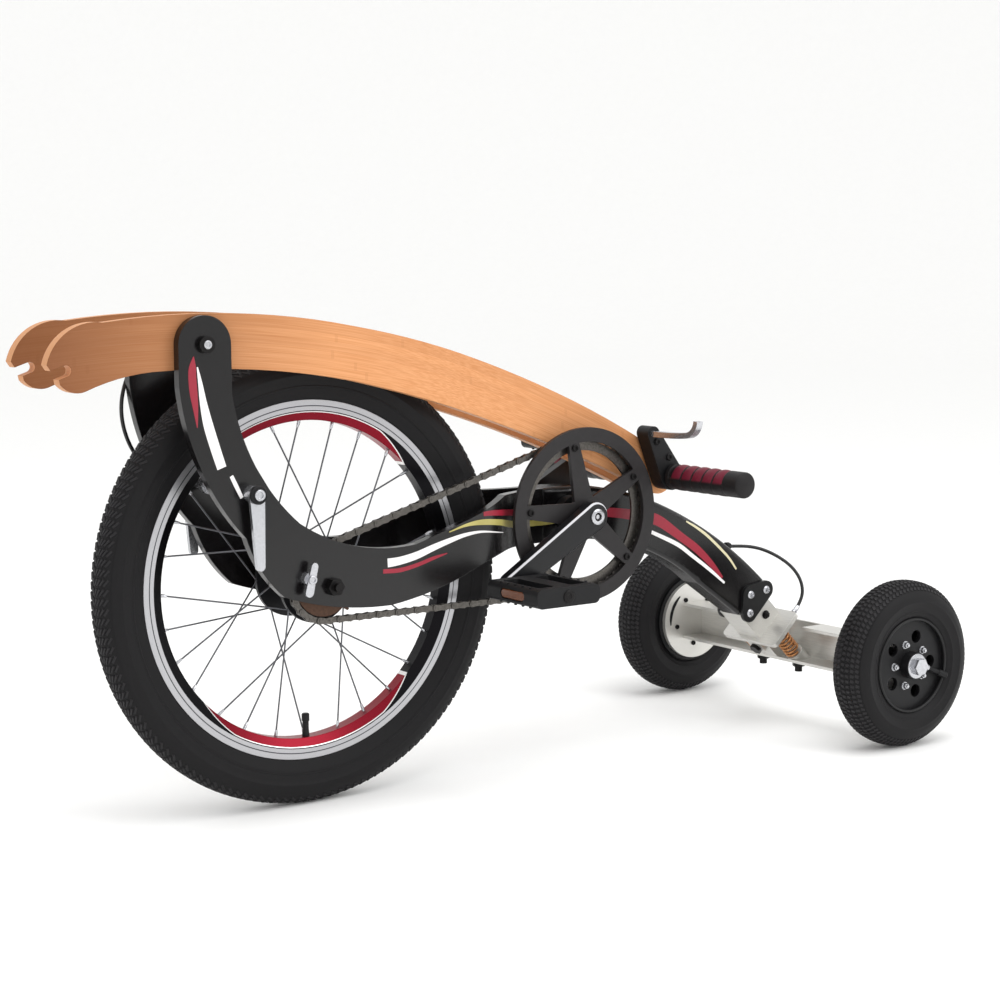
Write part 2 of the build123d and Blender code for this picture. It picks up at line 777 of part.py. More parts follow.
plank_shift = plank_wide_offset - plank_narrow_offset
plank_bend_radius = (plank_bend_length**2 + plank_shift**2) / (4 * plank_shift)
plank_bend_turn = math.degrees(math.asin(plank_bend_length / 2 / plank_bend_radius))
for tag, sign in side_signs.items():
    with BuildPart() as plank:
        with BuildSketch(Plane.XZ):
            with BuildLine():
                ThreePointArc(*tip_top[:3])
                ThreePointArc(*tip_top[2:])
                ThreePointArc(tip_top[4], *back_top)
                Line(back_top[1], end_top)
                ThreePointArc(end_top, end_tip, end_bottom)
                ThreePointArc(end_bottom, *back_under, tip_under[0])
                ThreePointArc(*tip_under[:3])
                ThreePointArc(*tip_under[2:5])
                ThreePointArc(*tip_under[4:])
                Line(tip_under[6], tip_top[0])
            make_face()
            with BuildLine():
                turn = math.radians(notch_angle)
                spread = math.radians(sweep_turn)
                corners = [
                    (
                        pivot_x + radius * math.cos(turn + bend),
                        pivot_z + radius * math.sin(turn + bend),
                    )
                    for radius, bend in (
                        (lobe_radius, 0),
                        (lobe_radius, spread / 2),
                        (lobe_radius, spread),
                        (sweep_radius, spread),
                        (sweep_radius, spread / 2),
                        (sweep_radius, 0),
                    )
                ]
                ThreePointArc(*corners[:3])
                Line(corners[2], corners[3])
                ThreePointArc(*corners[3:])
                Line(corners[5], corners[0])
            make_face(mode=Mode.SUBTRACT)
            slot_centre = (
                slot_end[0] + slot_length / 2 * math.cos(slot_turn),
                slot_end[1] + slot_length / 2 * math.sin(slot_turn),
            )
            with Locations(Location(slot_centre, math.degrees(slot_turn))):
                SlotCenterToCenter(slot_length, 2 * slot_radius, mode=Mode.SUBTRACT)
        extrude(amount=plank_wide_offset + plank_thickness, both=True)
        with BuildSketch(Plane.XY):
            with BuildLine():
                wide = sign * plank_wide_offset
                run = Line((notch_x - 2 * plank_end_radius, wide), (plank_bend_start, wide))
                first = JernArc(run @ 1, run % 1, plank_bend_radius, -sign * plank_bend_turn)
                second = JernArc(first @ 1, first % 1, plank_bend_radius, sign * plank_bend_turn)
                Line(second @ 1, (bar_x + 2 * plank_end_radius, sign * plank_narrow_offset))
            trace(line_width=plank_thickness)
        extrude(amount=pivot_z + bar_drop, mode=Mode.INTERSECT)
        for hole_x, hole_z, hole_radius in (
            (pivot_x, pivot_z, pivot_radius + running_gap),
            (bar_x, bar_z, bar_radius + seat_gap),
        ):
            with BuildSketch(across(hole_x, hole_z, 0)):
                Circle(hole_radius)
            extrude(amount=plank_wide_offset + plank_thickness, both=True, mode=Mode.SUBTRACT)
    save(plank, f"plank_{tag}")

# Cross bar through both planks
with BuildPart() as cross_bar:
    with BuildSketch(across(bar_x, bar_z, 0)):
        Circle(bar_radius)
    extrude(amount=bar_half_length, both=True)
save(cross_bar, "cross_bar")

# Spacer that clamps the bar between the planks
clamp_wall = 6.0
with BuildPart() as bar_spacer:
    with BuildSketch(across(bar_x, bar_z, 0)):
        Circle(bar_radius + clamp_wall)
        Circle(bar_radius + seat_gap, mode=Mode.SUBTRACT)
    extrude(amount=plank_narrow_offset - plank_thickness / 2 - seat_gap, both=True)
save(bar_spacer, "bar_spacer")

# Grips with closed ends
for tag, sign in side_signs.items():
    with BuildPart() as grip:
        with BuildSketch(outward(bar_x, bar_z, grip_start, sign)):
            Circle(grip_radius)
        extrude(amount=grip_end - grip_start)
        with BuildSketch(outward(bar_x, bar_z, grip_start, sign)):
            Circle(bar_radius + seat_gap)
        extrude(amount=bar_half_length + seat_gap - grip_start, mode=Mode.SUBTRACT)
    save(grip, f"grip_{tag}")

# Brake bracket and lever beside the near grip
lever_x = bar_x - 30.0
lever_z = bar_z + 54.0
lever_boss_radius = 9.0
bracket_start = 36.0
bracket_end = 58.0
with BuildPart() as brake_bracket:
    with BuildSketch(outward(bar_x, bar_z, bracket_start, -1)):
        Circle(bar_radius + clamp_wall)
        with Locations((lever_x - bar_x, lever_z - bar_z)):
            Circle(lever_boss_radius)
        make_hull()
        Circle(bar_radius + seat_gap, mode=Mode.SUBTRACT)
    extrude(amount=bracket_end - bracket_start)
save(brake_bracket, "brake_bracket")

# Lever blade: distances out from the bracket and up from the lever's root
blade_steps = [(0, 0), (20, 0), (64, 2), (82, 20)]
blade_thickness = 7.0
blade_width = 9.0
with BuildPart() as brake_lever:
    with BuildSketch(Plane.YZ.offset(lever_x - blade_width / 2)):
        with BuildLine():
            start, bend, finger_end, tip = [(-bracket_end - out, lever_z + up) for out, up in blade_steps]
            root = Line(start, bend)
            finger = TangentArc(bend, finger_end, tangent=root % 1)
            TangentArc(finger_end, tip, tangent=finger % 1)
        trace(line_width=blade_thickness)
    extrude(amount=blade_width)
save(brake_lever, "brake_lever")

# Truck bracket: a box on the spine's end, a base plate and two lugs for the kingpin
plate_front = bracket_length
plate_back = bracket_length + bracket_plate
plate_width = 4 * spring_radius + 2 * spring_offset - 10.0
plate_round = 6.0
with BuildPart() as truck_bracket:
    with BuildSketch(truck_plane(-spine_end_setback)):
        Rectangle(bracket_height, 2 * bracket_half_width)
    extrude(amount=plate_front + spine_end_setback)
    with BuildSketch(truck_plane(plate_front)):
        RectangleRounded(2 * bracket_plate_half, plate_width, plate_round)
    extrude(amount=bracket_plate)
    for way in (1, -1):
        lug_middle = way * (knuckle_half_length + side_gap + lug_thickness / 2)
        with BuildSketch(truck_plane(plate_back)):
            with Locations((lug_middle, 0)):
                Rectangle(lug_thickness, 2 * knuckle_radius)
        extrude(amount=kingpin_depth - plate_back)
        lug_plane = Plane(
            origin=truck_origin + down_rear * kingpin_depth + up_rear * lug_middle,
            x_dir=(0, 1, 0),
            z_dir=up_rear,
        )
        with BuildSketch(lug_plane):
            Circle(knuckle_radius)
        extrude(amount=lug_thickness / 2, both=True)
    with BuildSketch(Plane(origin=lug_plane.origin, x_dir=(0, 1, 0), z_dir=up_rear)):
        Circle(kingpin_radius + running_gap)
    extrude(amount=4 * bracket_plate_half, both=True, mode=Mode.SUBTRACT)
save(truck_bracket, "truck_bracket")

# Kingpin through the lugs and the knuckle
kingpin_head_radius = 8.0
kingpin_head_height = 5.0
kingpin_half = knuckle_half_length + side_gap + lug_thickness
kingpin_plane = Plane(
    origin=truck_origin + down_rear * kingpin_depth, x_dir=(0, 1, 0), z_dir=up_rear
)
with BuildPart() as kingpin:
    with BuildSketch(kingpin_plane):
        Circle(kingpin_radius)
    extrude(amount=kingpin_half + kingpin_head_height, both=True)
    for way in (1, -1):
        with BuildSketch(kingpin_plane.offset(way * (kingpin_half + kingpin_head_height / 2))):
            RegularPolygon(kingpin_head_radius, 6)
        extrude(amount=kingpin_head_height / 2, both=True)
save(kingpin, "kingpin")

# Black cheek plates, rounded triangles that bolt the bracket to the spine
# Steps along X and Z from the bracket's origin to each bolt
cheek_bolt_steps = [(-7, 14), (20, 18), (-8, -10)]
cheek_corner_radius = 12.0
cheek_thickness = 5.0
with BuildPart() as cheek_plates:
    for sign in side_signs.values():
        with BuildSketch(outward(truck_origin.X, truck_origin.Z, spine_half_width, sign)):
            with Locations(*[(x, -sign * z) for x, z in cheek_bolt_steps]):
                Circle(cheek_corner_radius)
            make_hull()
        extrude(amount=cheek_thickness)
save(cheek_plates, "cheek_plates")

# Axle beam, a channel open to the front, with its middle cleared for the knuckle
beam_shift = 2.0
beam_front = wheelbase - beam_depth / 2 - beam_shift
beam_back = beam_front + beam_depth
beam_bottom = rear_radius - beam_height / 2
beam_top = rear_radius + beam_height / 2
spring_side_gap = 12.0
flange_gap = spring_offset + spring_radius + spring_side_gap
with BuildPart() as axle_beam:
    with BuildSketch(Plane.XZ):
        with Locations(((beam_front + beam_back) / 2, rear_radius)):
            Rectangle(beam_depth, beam_height)
        with Locations(((beam_front + beam_back) / 2 - beam_wall, rear_radius)):
            Rectangle(beam_depth, beam_height - 2 * beam_wall, mode=Mode.SUBTRACT)
    extrude(amount=beam_half_length, both=True)
    with BuildSketch(Plane.XY.offset(beam_top - 2 * beam_wall)):
        with Locations(((beam_front + beam_back) / 2 - beam_wall, 0)):
            Rectangle(beam_depth, 2 * flange_gap)
    extrude(amount=3 * beam_wall, mode=Mode.SUBTRACT)
save(axle_beam, "axle_beam")

# Knuckle: a barrel on the kingpin, carried by a block in the channel
# The beam's inside is a large square from its floor and back wall
knuckle_half_width = 12.0
knuckle_reach = 60.0
beam_inside = 200.0
with BuildPart() as knuckle:
    with BuildSketch(truck_plane(kingpin_depth)):
        Rectangle(2 * knuckle_half_length, 2 * knuckle_half_width)
    extrude(amount=knuckle_reach)
    with BuildSketch(kingpin_plane):
        Circle(knuckle_radius)
    extrude(amount=knuckle_half_length, both=True)
    with BuildSketch(Plane.XZ):
        with Locations((beam_back - beam_wall, beam_bottom + beam_wall)):
            Rectangle(beam_inside, beam_inside, align=(Align.MAX, Align.MIN))
    extrude(amount=knuckle_radius + 1, both=True, mode=Mode.INTERSECT)
    with BuildSketch(kingpin_plane):
        Circle(kingpin_radius + running_gap)
    extrude(amount=2 * knuckle_half_length, both=True, mode=Mode.SUBTRACT)
save(knuckle, "knuckle")

# Spring seats on the channel's floor
seat_radius = 12.0
seat_reach = 30.0
with BuildPart() as spring_seats:
    for sign in side_signs.values():
        with BuildSketch(truck_plane(spring_seat_depth, spring_shift, sign * spring_offset)):
            Circle(seat_radius)
        extrude(amount=seat_reach)
    with BuildSketch(Plane.XZ):
        with Locations((beam_back - beam_wall, beam_bottom + beam_wall)):
            Rectangle(beam_inside, beam_inside, align=(Align.MAX, Align.MIN))
    extrude(amount=3 * spring_offset, both=True, mode=Mode.INTERSECT)
save(spring_seats, "spring_seats")

# Coil springs between the base plate and the seats, as a sleeve with one ridge to each turn
spring_turns = 6
spring_wire = 2.2
spring_length = spring_seat_depth - plate_back - 2 * seat_gap
spring_rise = spring_length / spring_turns
for tag, sign in side_signs.items():
    with BuildPart() as spring:
        coil_plane = truck_plane(plate_back + seat_gap, spring_shift, sign * spring_offset)
        section = Plane(origin=coil_plane.origin, x_dir=down_rear, z_dir=(0, 1, 0))
        with BuildSketch(section):
            with BuildLine():
                ridges = [(0, spring_radius - 2 * spring_wire)]
                for turn in range(spring_turns):
                    ridges.append((spring_rise * (turn + 0.5), spring_radius))
                    ridges.append((spring_rise * (turn + 1), spring_radius - 2 * spring_wire))
                bore = spring_radius - 3 * spring_wire
                Polyline(*ridges, (spring_length, bore), (0, bore), close=True)
            make_face()
        revolve(axis=Axis(coil_plane.origin, down_rear))
    save(spring, f"spring_{tag}")

# Bolts that hold the spring seats, with their nuts under the channel
seat_bolt_radius = 5.0
seat_bolt_tip = 7.0
seat_nut_radius = 8.5
seat_nut_height = 7.0
seat_bolt_place = truck_plane(spring_seat_depth, spring_shift).origin
seat_bolt_x = seat_bolt_place.X + seat_bolt_place.Z - beam_bottom - beam_wall
with BuildPart() as spring_bolts:
    for sign in side_signs.values():
        under_beam = Plane(origin=(seat_bolt_x, sign * spring_offset, beam_bottom), z_dir=(0, 0, -1))
        with BuildSketch(under_beam):
            RegularPolygon(seat_nut_radius, 6)
        extrude(amount=seat_nut_height)
        with BuildSketch(under_beam.offset(seat_nut_height)):
            Circle(seat_bolt_radius)
        extrude(amount=seat_bolt_tip)
save(spring_bolts, "spring_bolts")

# Brake covers on the beam's ends and the stub axles with their nuts
stub_end = rear_track_half + rear_tyre_half_width + 2.0
stub_nut_radius = 11.0
stub_nut_height = 8.0
for tag, sign in side_signs.items():
    with BuildPart() as cover:
        with BuildSketch(outward(wheelbase, rear_radius, beam_half_length, sign)):
            Circle(cover_radius)
        extrude(amount=cover_thickness)
    save(cover, f"brake_cover_{tag}")
    with BuildPart() as stub:
        stub_start = beam_half_length + cover_thickness
        with BuildSketch(outward(wheelbase, rear_radius, stub_start, sign)):
            Circle(stub_radius)
        extrude(amount=stub_end + stub_nut_height - stub_start)
        with BuildSketch(outward(wheelbase, rear_radius, stub_end, sign)):
            RegularPolygon(stub_nut_radius, 6)
        extrude(amount=stub_nut_height)
    save(stub, f"stub_axle_{tag}")

    # Rear wheel: a tyre over a rim with a pierced disc and a hub
    rear_plane = Plane(origin=(wheelbase, 0, rear_radius), x_dir=(0, sign, 0), z_dir=(sign, 0, 0))
    rear_axis = Axis((wheelbase, 0, rear_radius), (0, 1, 0))
    with BuildPart() as rear_tyre:
        with BuildSketch(rear_plane):
            with BuildLine():
                outer = [
                    (rear_rim_half_width, rear_rim_radius + seat_gap),
                    (rear_tyre_half_width, rear_radius - rear_shoulder_drop),
                    (rear_crown_half_width, rear_radius),
                ]
                inner = [(-y, r) for y, r in reversed(outer)]
                Polyline(*[(rear_track_half + y, r) for y, r in outer + inner], close=True)
            make_face()
        revolve(axis=rear_axis)
    save(rear_tyre, f"rear_tyre_{tag}")
    disc_inner = rear_track_half + rear_disc_offset
    hub_start = stub_start + side_gap
    hub_finish = stub_end - side_gap
    with BuildPart() as rear_rim:
        with BuildSketch(rear_plane):
            with Locations((rear_track_half, rear_rim_radius - rear_rim_wall / 2)):
                Rectangle(2 * rear_rim_half_width, rear_rim_wall)
            with Locations((disc_inner + rear_disc_thickness / 2, rear_rim_radius / 2)):
                Rectangle(rear_disc_thickness, rear_rim_radius)
            with Locations(((hub_start + hub_finish) / 2, rear_hub_radius / 2)):
                Rectangle(hub_finish - hub_start, rear_hub_radius)
            with Locations(((hub_start + hub_finish) / 2, 0)):
                Rectangle(2 * rear_radius, 2 * (stub_radius + running_gap), mode=Mode.SUBTRACT)
        revolve(axis=rear_axis)
        with BuildSketch(outward(wheelbase, rear_radius, disc_inner - 1, sign)):
            with PolarLocations(rear_hole_circle, rear_spoke_count):
                Circle(rear_hole_radius)
        extrude(amount=rear_disc_thickness + 2, mode=Mode.SUBTRACT)
    save(rear_rim, f"rear_rim_{tag}")
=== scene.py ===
"""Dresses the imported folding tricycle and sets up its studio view."""

from __future__ import annotations

import json
import logging
import math
from dataclasses import dataclass
from enum import Enum
from typing import Any, Iterable, Sequence

import bmesh
import bpy
from mathutils import Euler, Matrix, Vector
from mathutils.bvhtree import BVHTree

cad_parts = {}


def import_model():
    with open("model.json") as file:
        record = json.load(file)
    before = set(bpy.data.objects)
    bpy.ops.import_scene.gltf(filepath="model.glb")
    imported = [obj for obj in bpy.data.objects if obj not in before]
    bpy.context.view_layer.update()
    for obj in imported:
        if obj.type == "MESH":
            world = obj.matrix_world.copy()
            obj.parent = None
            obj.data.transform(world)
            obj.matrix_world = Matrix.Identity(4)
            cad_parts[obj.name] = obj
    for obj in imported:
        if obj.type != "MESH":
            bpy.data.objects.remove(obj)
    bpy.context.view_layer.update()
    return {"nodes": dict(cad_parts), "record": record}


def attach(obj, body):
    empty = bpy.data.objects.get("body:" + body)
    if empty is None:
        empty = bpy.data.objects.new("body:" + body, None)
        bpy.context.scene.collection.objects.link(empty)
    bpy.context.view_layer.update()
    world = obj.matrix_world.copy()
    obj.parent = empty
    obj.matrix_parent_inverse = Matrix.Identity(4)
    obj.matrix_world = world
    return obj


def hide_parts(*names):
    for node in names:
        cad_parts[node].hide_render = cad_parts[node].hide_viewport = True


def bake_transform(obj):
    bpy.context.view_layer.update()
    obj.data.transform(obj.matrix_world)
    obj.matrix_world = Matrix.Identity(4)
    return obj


LOG = logging.getLogger("tricycle")
MM = 0.001
SMOOTH_DEGREES = 35.0
WELD_METRES = 1e-7

Flat = tuple[float, float]
Place = tuple[float, float, float]
Faces = list[tuple[int, ...]]
Spot = tuple[Sequence[float], Sequence[float]]
ScrewSize = tuple[float, float]  # Radius and height of the head
NutSize = tuple[float, float, float]  # Radius over the corners, height and bolt radius

# Places that several pieces share, in millimetres, and the near crank's turn in degrees
AXLE_HEIGHT = 253.5
CRANK: Flat = (357.0, 304.0)
CRANK_ANGLE = 210.0
REAR_AXLE: Flat = (733.0, 104.5)

# Socket numbers of a mix node for colours, because its socket names are not unique
MIX, TONE_A, TONE_B, MIXED = 0, 6, 7, 2


class Body(Enum):
    """The bodies that pieces ride on."""

    FRAME = "frame"
    HANDLEBAR = "handlebar"
    TRUCK = "truck"
    FRONT_WHEEL = "front_wheel"
    REAR_WHEEL_NEAR = "rear_wheel_near"
    REAR_WHEEL_FAR = "rear_wheel_far"


class Side(Enum):
    """The chain side, called near, and the other one."""

    NEAR = -1
    FAR = 1

    @property
    def tag(self) -> str:
        """The ending of this side's node names."""
        return self.name.lower()


# Small tools for colours, nodes and meshes


def linear(code: str) -> tuple[float, float, float, float]:
    """Turn an sRGB hex colour into linear values.

    Args:
        code: Six hex digits after a hash sign.

    Returns:
        Red, green, blue and an alpha of one.
    """
    parts = [int(code[i : i + 2], 16) / 255 for i in (1, 3, 5)]
    tones = [p / 12.92 if p <= 0.04045 else ((p + 0.055) / 1.055) ** 2.4 for p in parts]
    return (tones[0], tones[1], tones[2], 1.0)


def add_node(
    tree: bpy.types.NodeTree, kind: str, inputs: dict[Any, Any] | None = None, **settings: Any
) -> bpy.types.Node:
    """Add one node with its settings, values and links.

    Args:
        tree: The tree that takes the node.
        kind: The node's type name.
        inputs: Socket name or number to a value, or to the socket or node it is linked from.
        **settings: The node's own properties.

    Returns:
        The new node.
    """
    node = tree.nodes.new(kind)
    for label, value in settings.items():
        setattr(node, label, value)
    for key, value in (inputs or {}).items():
        if isinstance(value, bpy.types.Node):
            value = next(socket for socket in value.outputs if socket.enabled)
        if isinstance(value, bpy.types.NodeSocket):
            tree.links.new(value, node.inputs[key])
        else:
            node.inputs[key].default_value = value
    return node


def link_object(name: str, data: bpy.types.ID) -> bpy.types.Object:
    """Put a mesh, curve, lamp or camera into the scene as an object at the origin.

    Args:
        name: The object's name.
        data: What the object shows.

    Returns:
        The new object.
    """
    made = bpy.data.objects.new(name, data)
    bpy.context.scene.collection.objects.link(made)
    return made


def mesh_object(
    name: str,
    points: Sequence[Sequence[float]],
    faces: Sequence[Sequence[int]],
    smooth: float = SMOOTH_DEGREES,
) -> bpy.types.Object:
    """Make an object from points in millimetres and faces.

    Args:
        name: The object's name.
        points: Places in millimetres.
        faces: Point numbers of each face.
        smooth: Edges flatter than this angle in degrees are shaded smooth.

    Returns:
        The linked object, with its faces turned outwards.
    """
    mesh = bpy.data.meshes.new(name)
    mesh.from_pydata([Vector(p) * MM for p in points], [], faces)
    work = bmesh.new()
    work.from_mesh(mesh)
    bmesh.ops.remove_doubles(work, verts=work.verts, dist=WELD_METRES)
    bmesh.ops.recalc_face_normals(work, faces=work.faces)
    for face in work.faces:
        face.smooth = True
    for edge in work.edges:
        paired = len(edge.link_faces) == 2
        edge.smooth = paired and edge.calc_face_angle(0.0) < math.radians(smooth)
    work.to_mesh(mesh)
    work.free()
    return link_object(name, mesh)


def turned(
    profile: Sequence[Flat], steps: int, closed: bool = False
) -> tuple[list[Place], Faces]:
    """Turn a profile about the Z axis.

    Args:
        profile: Radius and height of each point.
        steps: Number of divisions of the turn.
        closed: Whether the last point joins the first.

    Returns:
        Points and faces.
    """
    points = [
        (r * math.cos(2 * math.pi * s / steps), r * math.sin(2 * math.pi * s / steps), h)
        for s in range(steps)
        for r, h in profile
    ]
    count = len(profile)
    faces: Faces = []
    for s in range(steps):
        here, there = s * count, (s + 1) % steps * count
        for k in range(count if closed else count - 1):
            after = (k + 1) % count
            faces.append((here + k, there + k, there + after, here + after))
    return points, faces


def stacked(shapes: Sequence[tuple[Sequence[Flat], int]]) -> tuple[list[Place], Faces]:
    """Turn several profiles about the Z axis into one mesh.

    Args:
        shapes: Profile and number of divisions of each shape.

    Returns:
        Points and faces of all shapes.
    """
    points: list[Place] = []
    faces: Faces = []
    for profile, steps in shapes:
        more, sides = turned(profile, steps)
        faces += [tuple(i + len(points) for i in side) for side in sides]
        points += more
    return points, faces


def moved(points: Iterable[Sequence[float]], matrix: Matrix) -> list[Vector]:
    """Move points by a matrix."""
    return [matrix @ Vector(p) for p in points]


def across_axis(x: float, y: float, z: float) -> Matrix:
    """Matrix that lays a turned shape's Z axis along +Y at a place in millimetres."""
    return Matrix.Translation((x, y, z)) @ Matrix.Rotation(-math.pi / 2, 4, "X")


def geometry_tree(
    name: str, inputs: dict[str, tuple[str, Any]]
) -> tuple[bpy.types.GeometryNodeTree, bpy.types.Node, bpy.types.Node]:
    """Start a geometry node tree.

    Args:
        name: The tree's name.
        inputs: Input name to its socket type and default value.

    Returns:
        The tree, its input node and its output node.
    """
    tree = bpy.data.node_groups.new(name, "GeometryNodeTree")
    tree.interface.new_socket("Geometry", in_out="INPUT", socket_type="NodeSocketGeometry")
    for label, (kind, value) in inputs.items():
        socket = tree.interface.new_socket(label, in_out="INPUT", socket_type=kind)
        if value is not None:
            socket.default_value = value
    tree.interface.new_socket("Geometry", in_out="OUTPUT", socket_type="NodeSocketGeometry")
    start = add_node(tree, "NodeGroupInput")
    return tree, start, add_node(tree, "NodeGroupOutput")


def close_tree(
    tree: bpy.types.GeometryNodeTree,
    geometry: bpy.types.NodeSocket,
    finish: bpy.types.NodeSocket,
    end: bpy.types.Node,
) -> None:
    """End a tree in real, painted geometry.

    Args:
        tree: The tree.
        geometry: The socket to end with.
        finish: The socket that gives the material.
        end: The tree's output node.
    """
    real = add_node(tree, "GeometryNodeRealizeInstances", {0: geometry})
    painted = add_node(tree, "GeometryNodeSetMaterial", {0: real.outputs[0], "Material": finish})
    tree.links.new(painted.outputs[0], end.inputs[0])


def copies_tree() -> bpy.types.GeometryNodeTree:
    """Tree that puts a copy of a shape on each point, turned by the point's own angles.

    Returns:
        The tree, built by the first call.
    """
    name = "copies on points"
    if name in bpy.data.node_groups:
        return bpy.data.node_groups[name]
    inputs = {"Shape": ("NodeSocketObject", None), "Finish": ("NodeSocketMaterial", None)}
    tree, start, end = geometry_tree(name, inputs)
    shape = add_node(tree, "GeometryNodeObjectInfo", {"Object": start.outputs["Shape"]})
    turn = add_node(
        tree, "GeometryNodeInputNamedAttribute", {"Name": "turn"}, data_type="FLOAT_VECTOR"
    )
    spread = {
        "Points": start.outputs["Geometry"],
        "Instance": shape.outputs["Geometry"],
        "Rotation": turn.outputs[0],
    }
    laid = add_node(tree, "GeometryNodeInstanceOnPoints", spread)
    close_tree(tree, laid.outputs[0], start.outputs["Finish"], end)
    return tree


def wires_tree() -> bpy.types.GeometryNodeTree:
    """Tree that turns edges into round wires.

    Returns:
        The tree, built by the first call.
    """
    name = "wires along edges"
    if name in bpy.data.node_groups:
        return bpy.data.node_groups[name]
    inputs = {
        "Radius": ("NodeSocketFloat", 0.001),
        "Sides": ("NodeSocketInt", 8),
        "Finish": ("NodeSocketMaterial", None),
    }
    tree, start, end = geometry_tree(name, inputs)
    line = add_node(tree, "GeometryNodeMeshToCurve", {0: start.outputs["Geometry"]})
    circle = {"Resolution": start.outputs["Sides"], "Radius": start.outputs["Radius"]}
    ring = add_node(tree, "GeometryNodeCurvePrimitiveCircle", circle)
    sweep = {"Curve": line.outputs[0], "Profile Curve": ring.outputs[0], "Fill Caps": True}
    wire = add_node(tree, "GeometryNodeCurveToMesh", sweep)
    close_tree(tree, wire.outputs[0], start.outputs["Finish"], end)
    return tree


def links_tree() -> bpy.types.GeometryNodeTree:
    """Tree that lays two kinds of link by turns along a closed line in the wheel's plane.

    Returns:
        The tree, built by the first call.
    """
    name = "links along a line"
    if name in bpy.data.node_groups:
        return bpy.data.node_groups[name]
    inputs = {
        "Links": ("NodeSocketInt", 90),
        "Outer link": ("NodeSocketObject", None),
        "Inner link": ("NodeSocketObject", None),
        "Finish": ("NodeSocketMaterial", None),
    }
    tree, start, end = geometry_tree(name, inputs)
    line = add_node(tree, "GeometryNodeMeshToCurve", {0: start.outputs["Geometry"]})
    division = {"Curve": line.outputs[0], "Count": start.outputs["Links"]}
    even = add_node(tree, "GeometryNodeResampleCurve", division, mode="COUNT")
    tangent = add_node(tree, "GeometryNodeInputTangent")
    axes = {"Primary Axis": tangent.outputs[0], "Secondary Axis": (0.0, 1.0, 0.0)}
    turn = add_node(
        tree, "FunctionNodeAxesToRotation", axes, primary_axis="X", secondary_axis="Y"
    )
    index = add_node(tree, "GeometryNodeInputIndex")
    odd = add_node(tree, "ShaderNodeMath", {0: index, 1: 2.0}, operation="MODULO")
    even_one = add_node(tree, "ShaderNodeMath", {0: 1.0, 1: odd}, operation="SUBTRACT")
    joined = add_node(tree, "GeometryNodeJoinGeometry")
    for label, chosen in (("Outer link", odd), ("Inner link", even_one)):
        shape = add_node(tree, "GeometryNodeObjectInfo", {"Object": start.outputs[label]})
        spread = {
            "Points": even.outputs[0],
            "Selection": chosen,
            "Instance": shape.outputs["Geometry"],
            "Rotation": turn.outputs[0],
        }
        laid = add_node(tree, "GeometryNodeInstanceOnPoints", spread)
        tree.links.new(laid.outputs[0], joined.inputs[0])
    close_tree(tree, joined.outputs[0], start.outputs["Finish"], end)
    return tree


def coil_tree() -> bpy.types.GeometryNodeTree:
    """Tree that winds a round wire into a spring along +Z.

    Returns:
        The tree, built by the first call.
    """
    name = "wound wire"
    if name in bpy.data.node_groups:
        return bpy.data.node_groups[name]
    inputs = {
        "Turns": ("NodeSocketFloat", 6.0),
        "Steps": ("NodeSocketInt", 28),
        "Radius": ("NodeSocketFloat", 0.01),
        "Length": ("NodeSocketFloat", 0.04),
        "Wire": ("NodeSocketFloat", 0.001),
        "Sides": ("NodeSocketInt", 10),
        "Finish": ("NodeSocketMaterial", None),
    }
    tree, start, end = geometry_tree(name, inputs)
    winding = {
        "Resolution": start.outputs["Steps"],
        "Rotations": start.outputs["Turns"],
        "Start Radius": start.outputs["Radius"],
        "End Radius": start.outputs["Radius"],
        "Height": start.outputs["Length"],
    }
    spiral = add_node(tree, "GeometryNodeCurveSpiral", winding)
    circle = {"Resolution": start.outputs["Sides"], "Radius": start.outputs["Wire"]}
    ring = add_node(tree, "GeometryNodeCurvePrimitiveCircle", circle)
    sweep = {"Curve": spiral.outputs[0], "Profile Curve": ring.outputs[0], "Fill Caps": True}
    wire = add_node(tree, "GeometryNodeCurveToMesh", sweep)
    close_tree(tree, wire.outputs[0], start.outputs["Finish"], end)
    return tree


def grow(
    name: str, tree: bpy.types.GeometryNodeTree, seed: bpy.types.Mesh, values: dict[str, Any]
) -> bpy.types.Object:
    """Run a geometry node tree on a seed mesh and keep the result as a plain mesh.

    Args:
        name: The new object's name.
        tree: The tree.
        seed: The mesh that the tree starts from.
        values: Input name to value.

    Returns:
        The object, with no modifier left on it.
    """
    holder = link_object(name, seed)
    modifier = holder.modifiers.new("Grow", "NODES")
    modifier.node_group = tree
    for item in tree.interface.items_tree:
        if item.item_type == "SOCKET" and item.in_out == "INPUT" and item.name in values:
            modifier[item.identifier] = values[item.name]
    graph = bpy.context.evaluated_depsgraph_get()
    mesh = bpy.data.meshes.new_from_object(holder.evaluated_get(graph), depsgraph=graph)
    holder.modifiers.remove(modifier)
    holder.data = mesh
    for polygon in mesh.polygons:
        polygon.use_smooth = True
    mesh.set_sharp_from_angle(angle=math.radians(SMOOTH_DEGREES))
    return holder


def copies(
    name: str, shape: bpy.types.Object, places: Sequence[Spot], finish: Finish
) -> bpy.types.Object:
    """Put copies of a shape at places and drop the shape.

    Args:
        name: The new object's name.
        shape: The shape to copy.
        places: Place in millimetres and turn as Euler angles of each copy.
        finish: The copies' finish.

    Returns:
        One object with all copies.
    """
    seed = bpy.data.meshes.new(name)
    seed.from_pydata([Vector(p) * MM for p, _ in places], [], [])
    turns = seed.attributes.new("turn", "FLOAT_VECTOR", "POINT")
    turns.data.foreach_set("vector", [angle for _, turn in places for angle in turn])
    values = {"Shape": shape, "Finish": finish.material()}
    made = grow(name, copies_tree(), seed, values)
    bpy.data.objects.remove(shape)
    return made


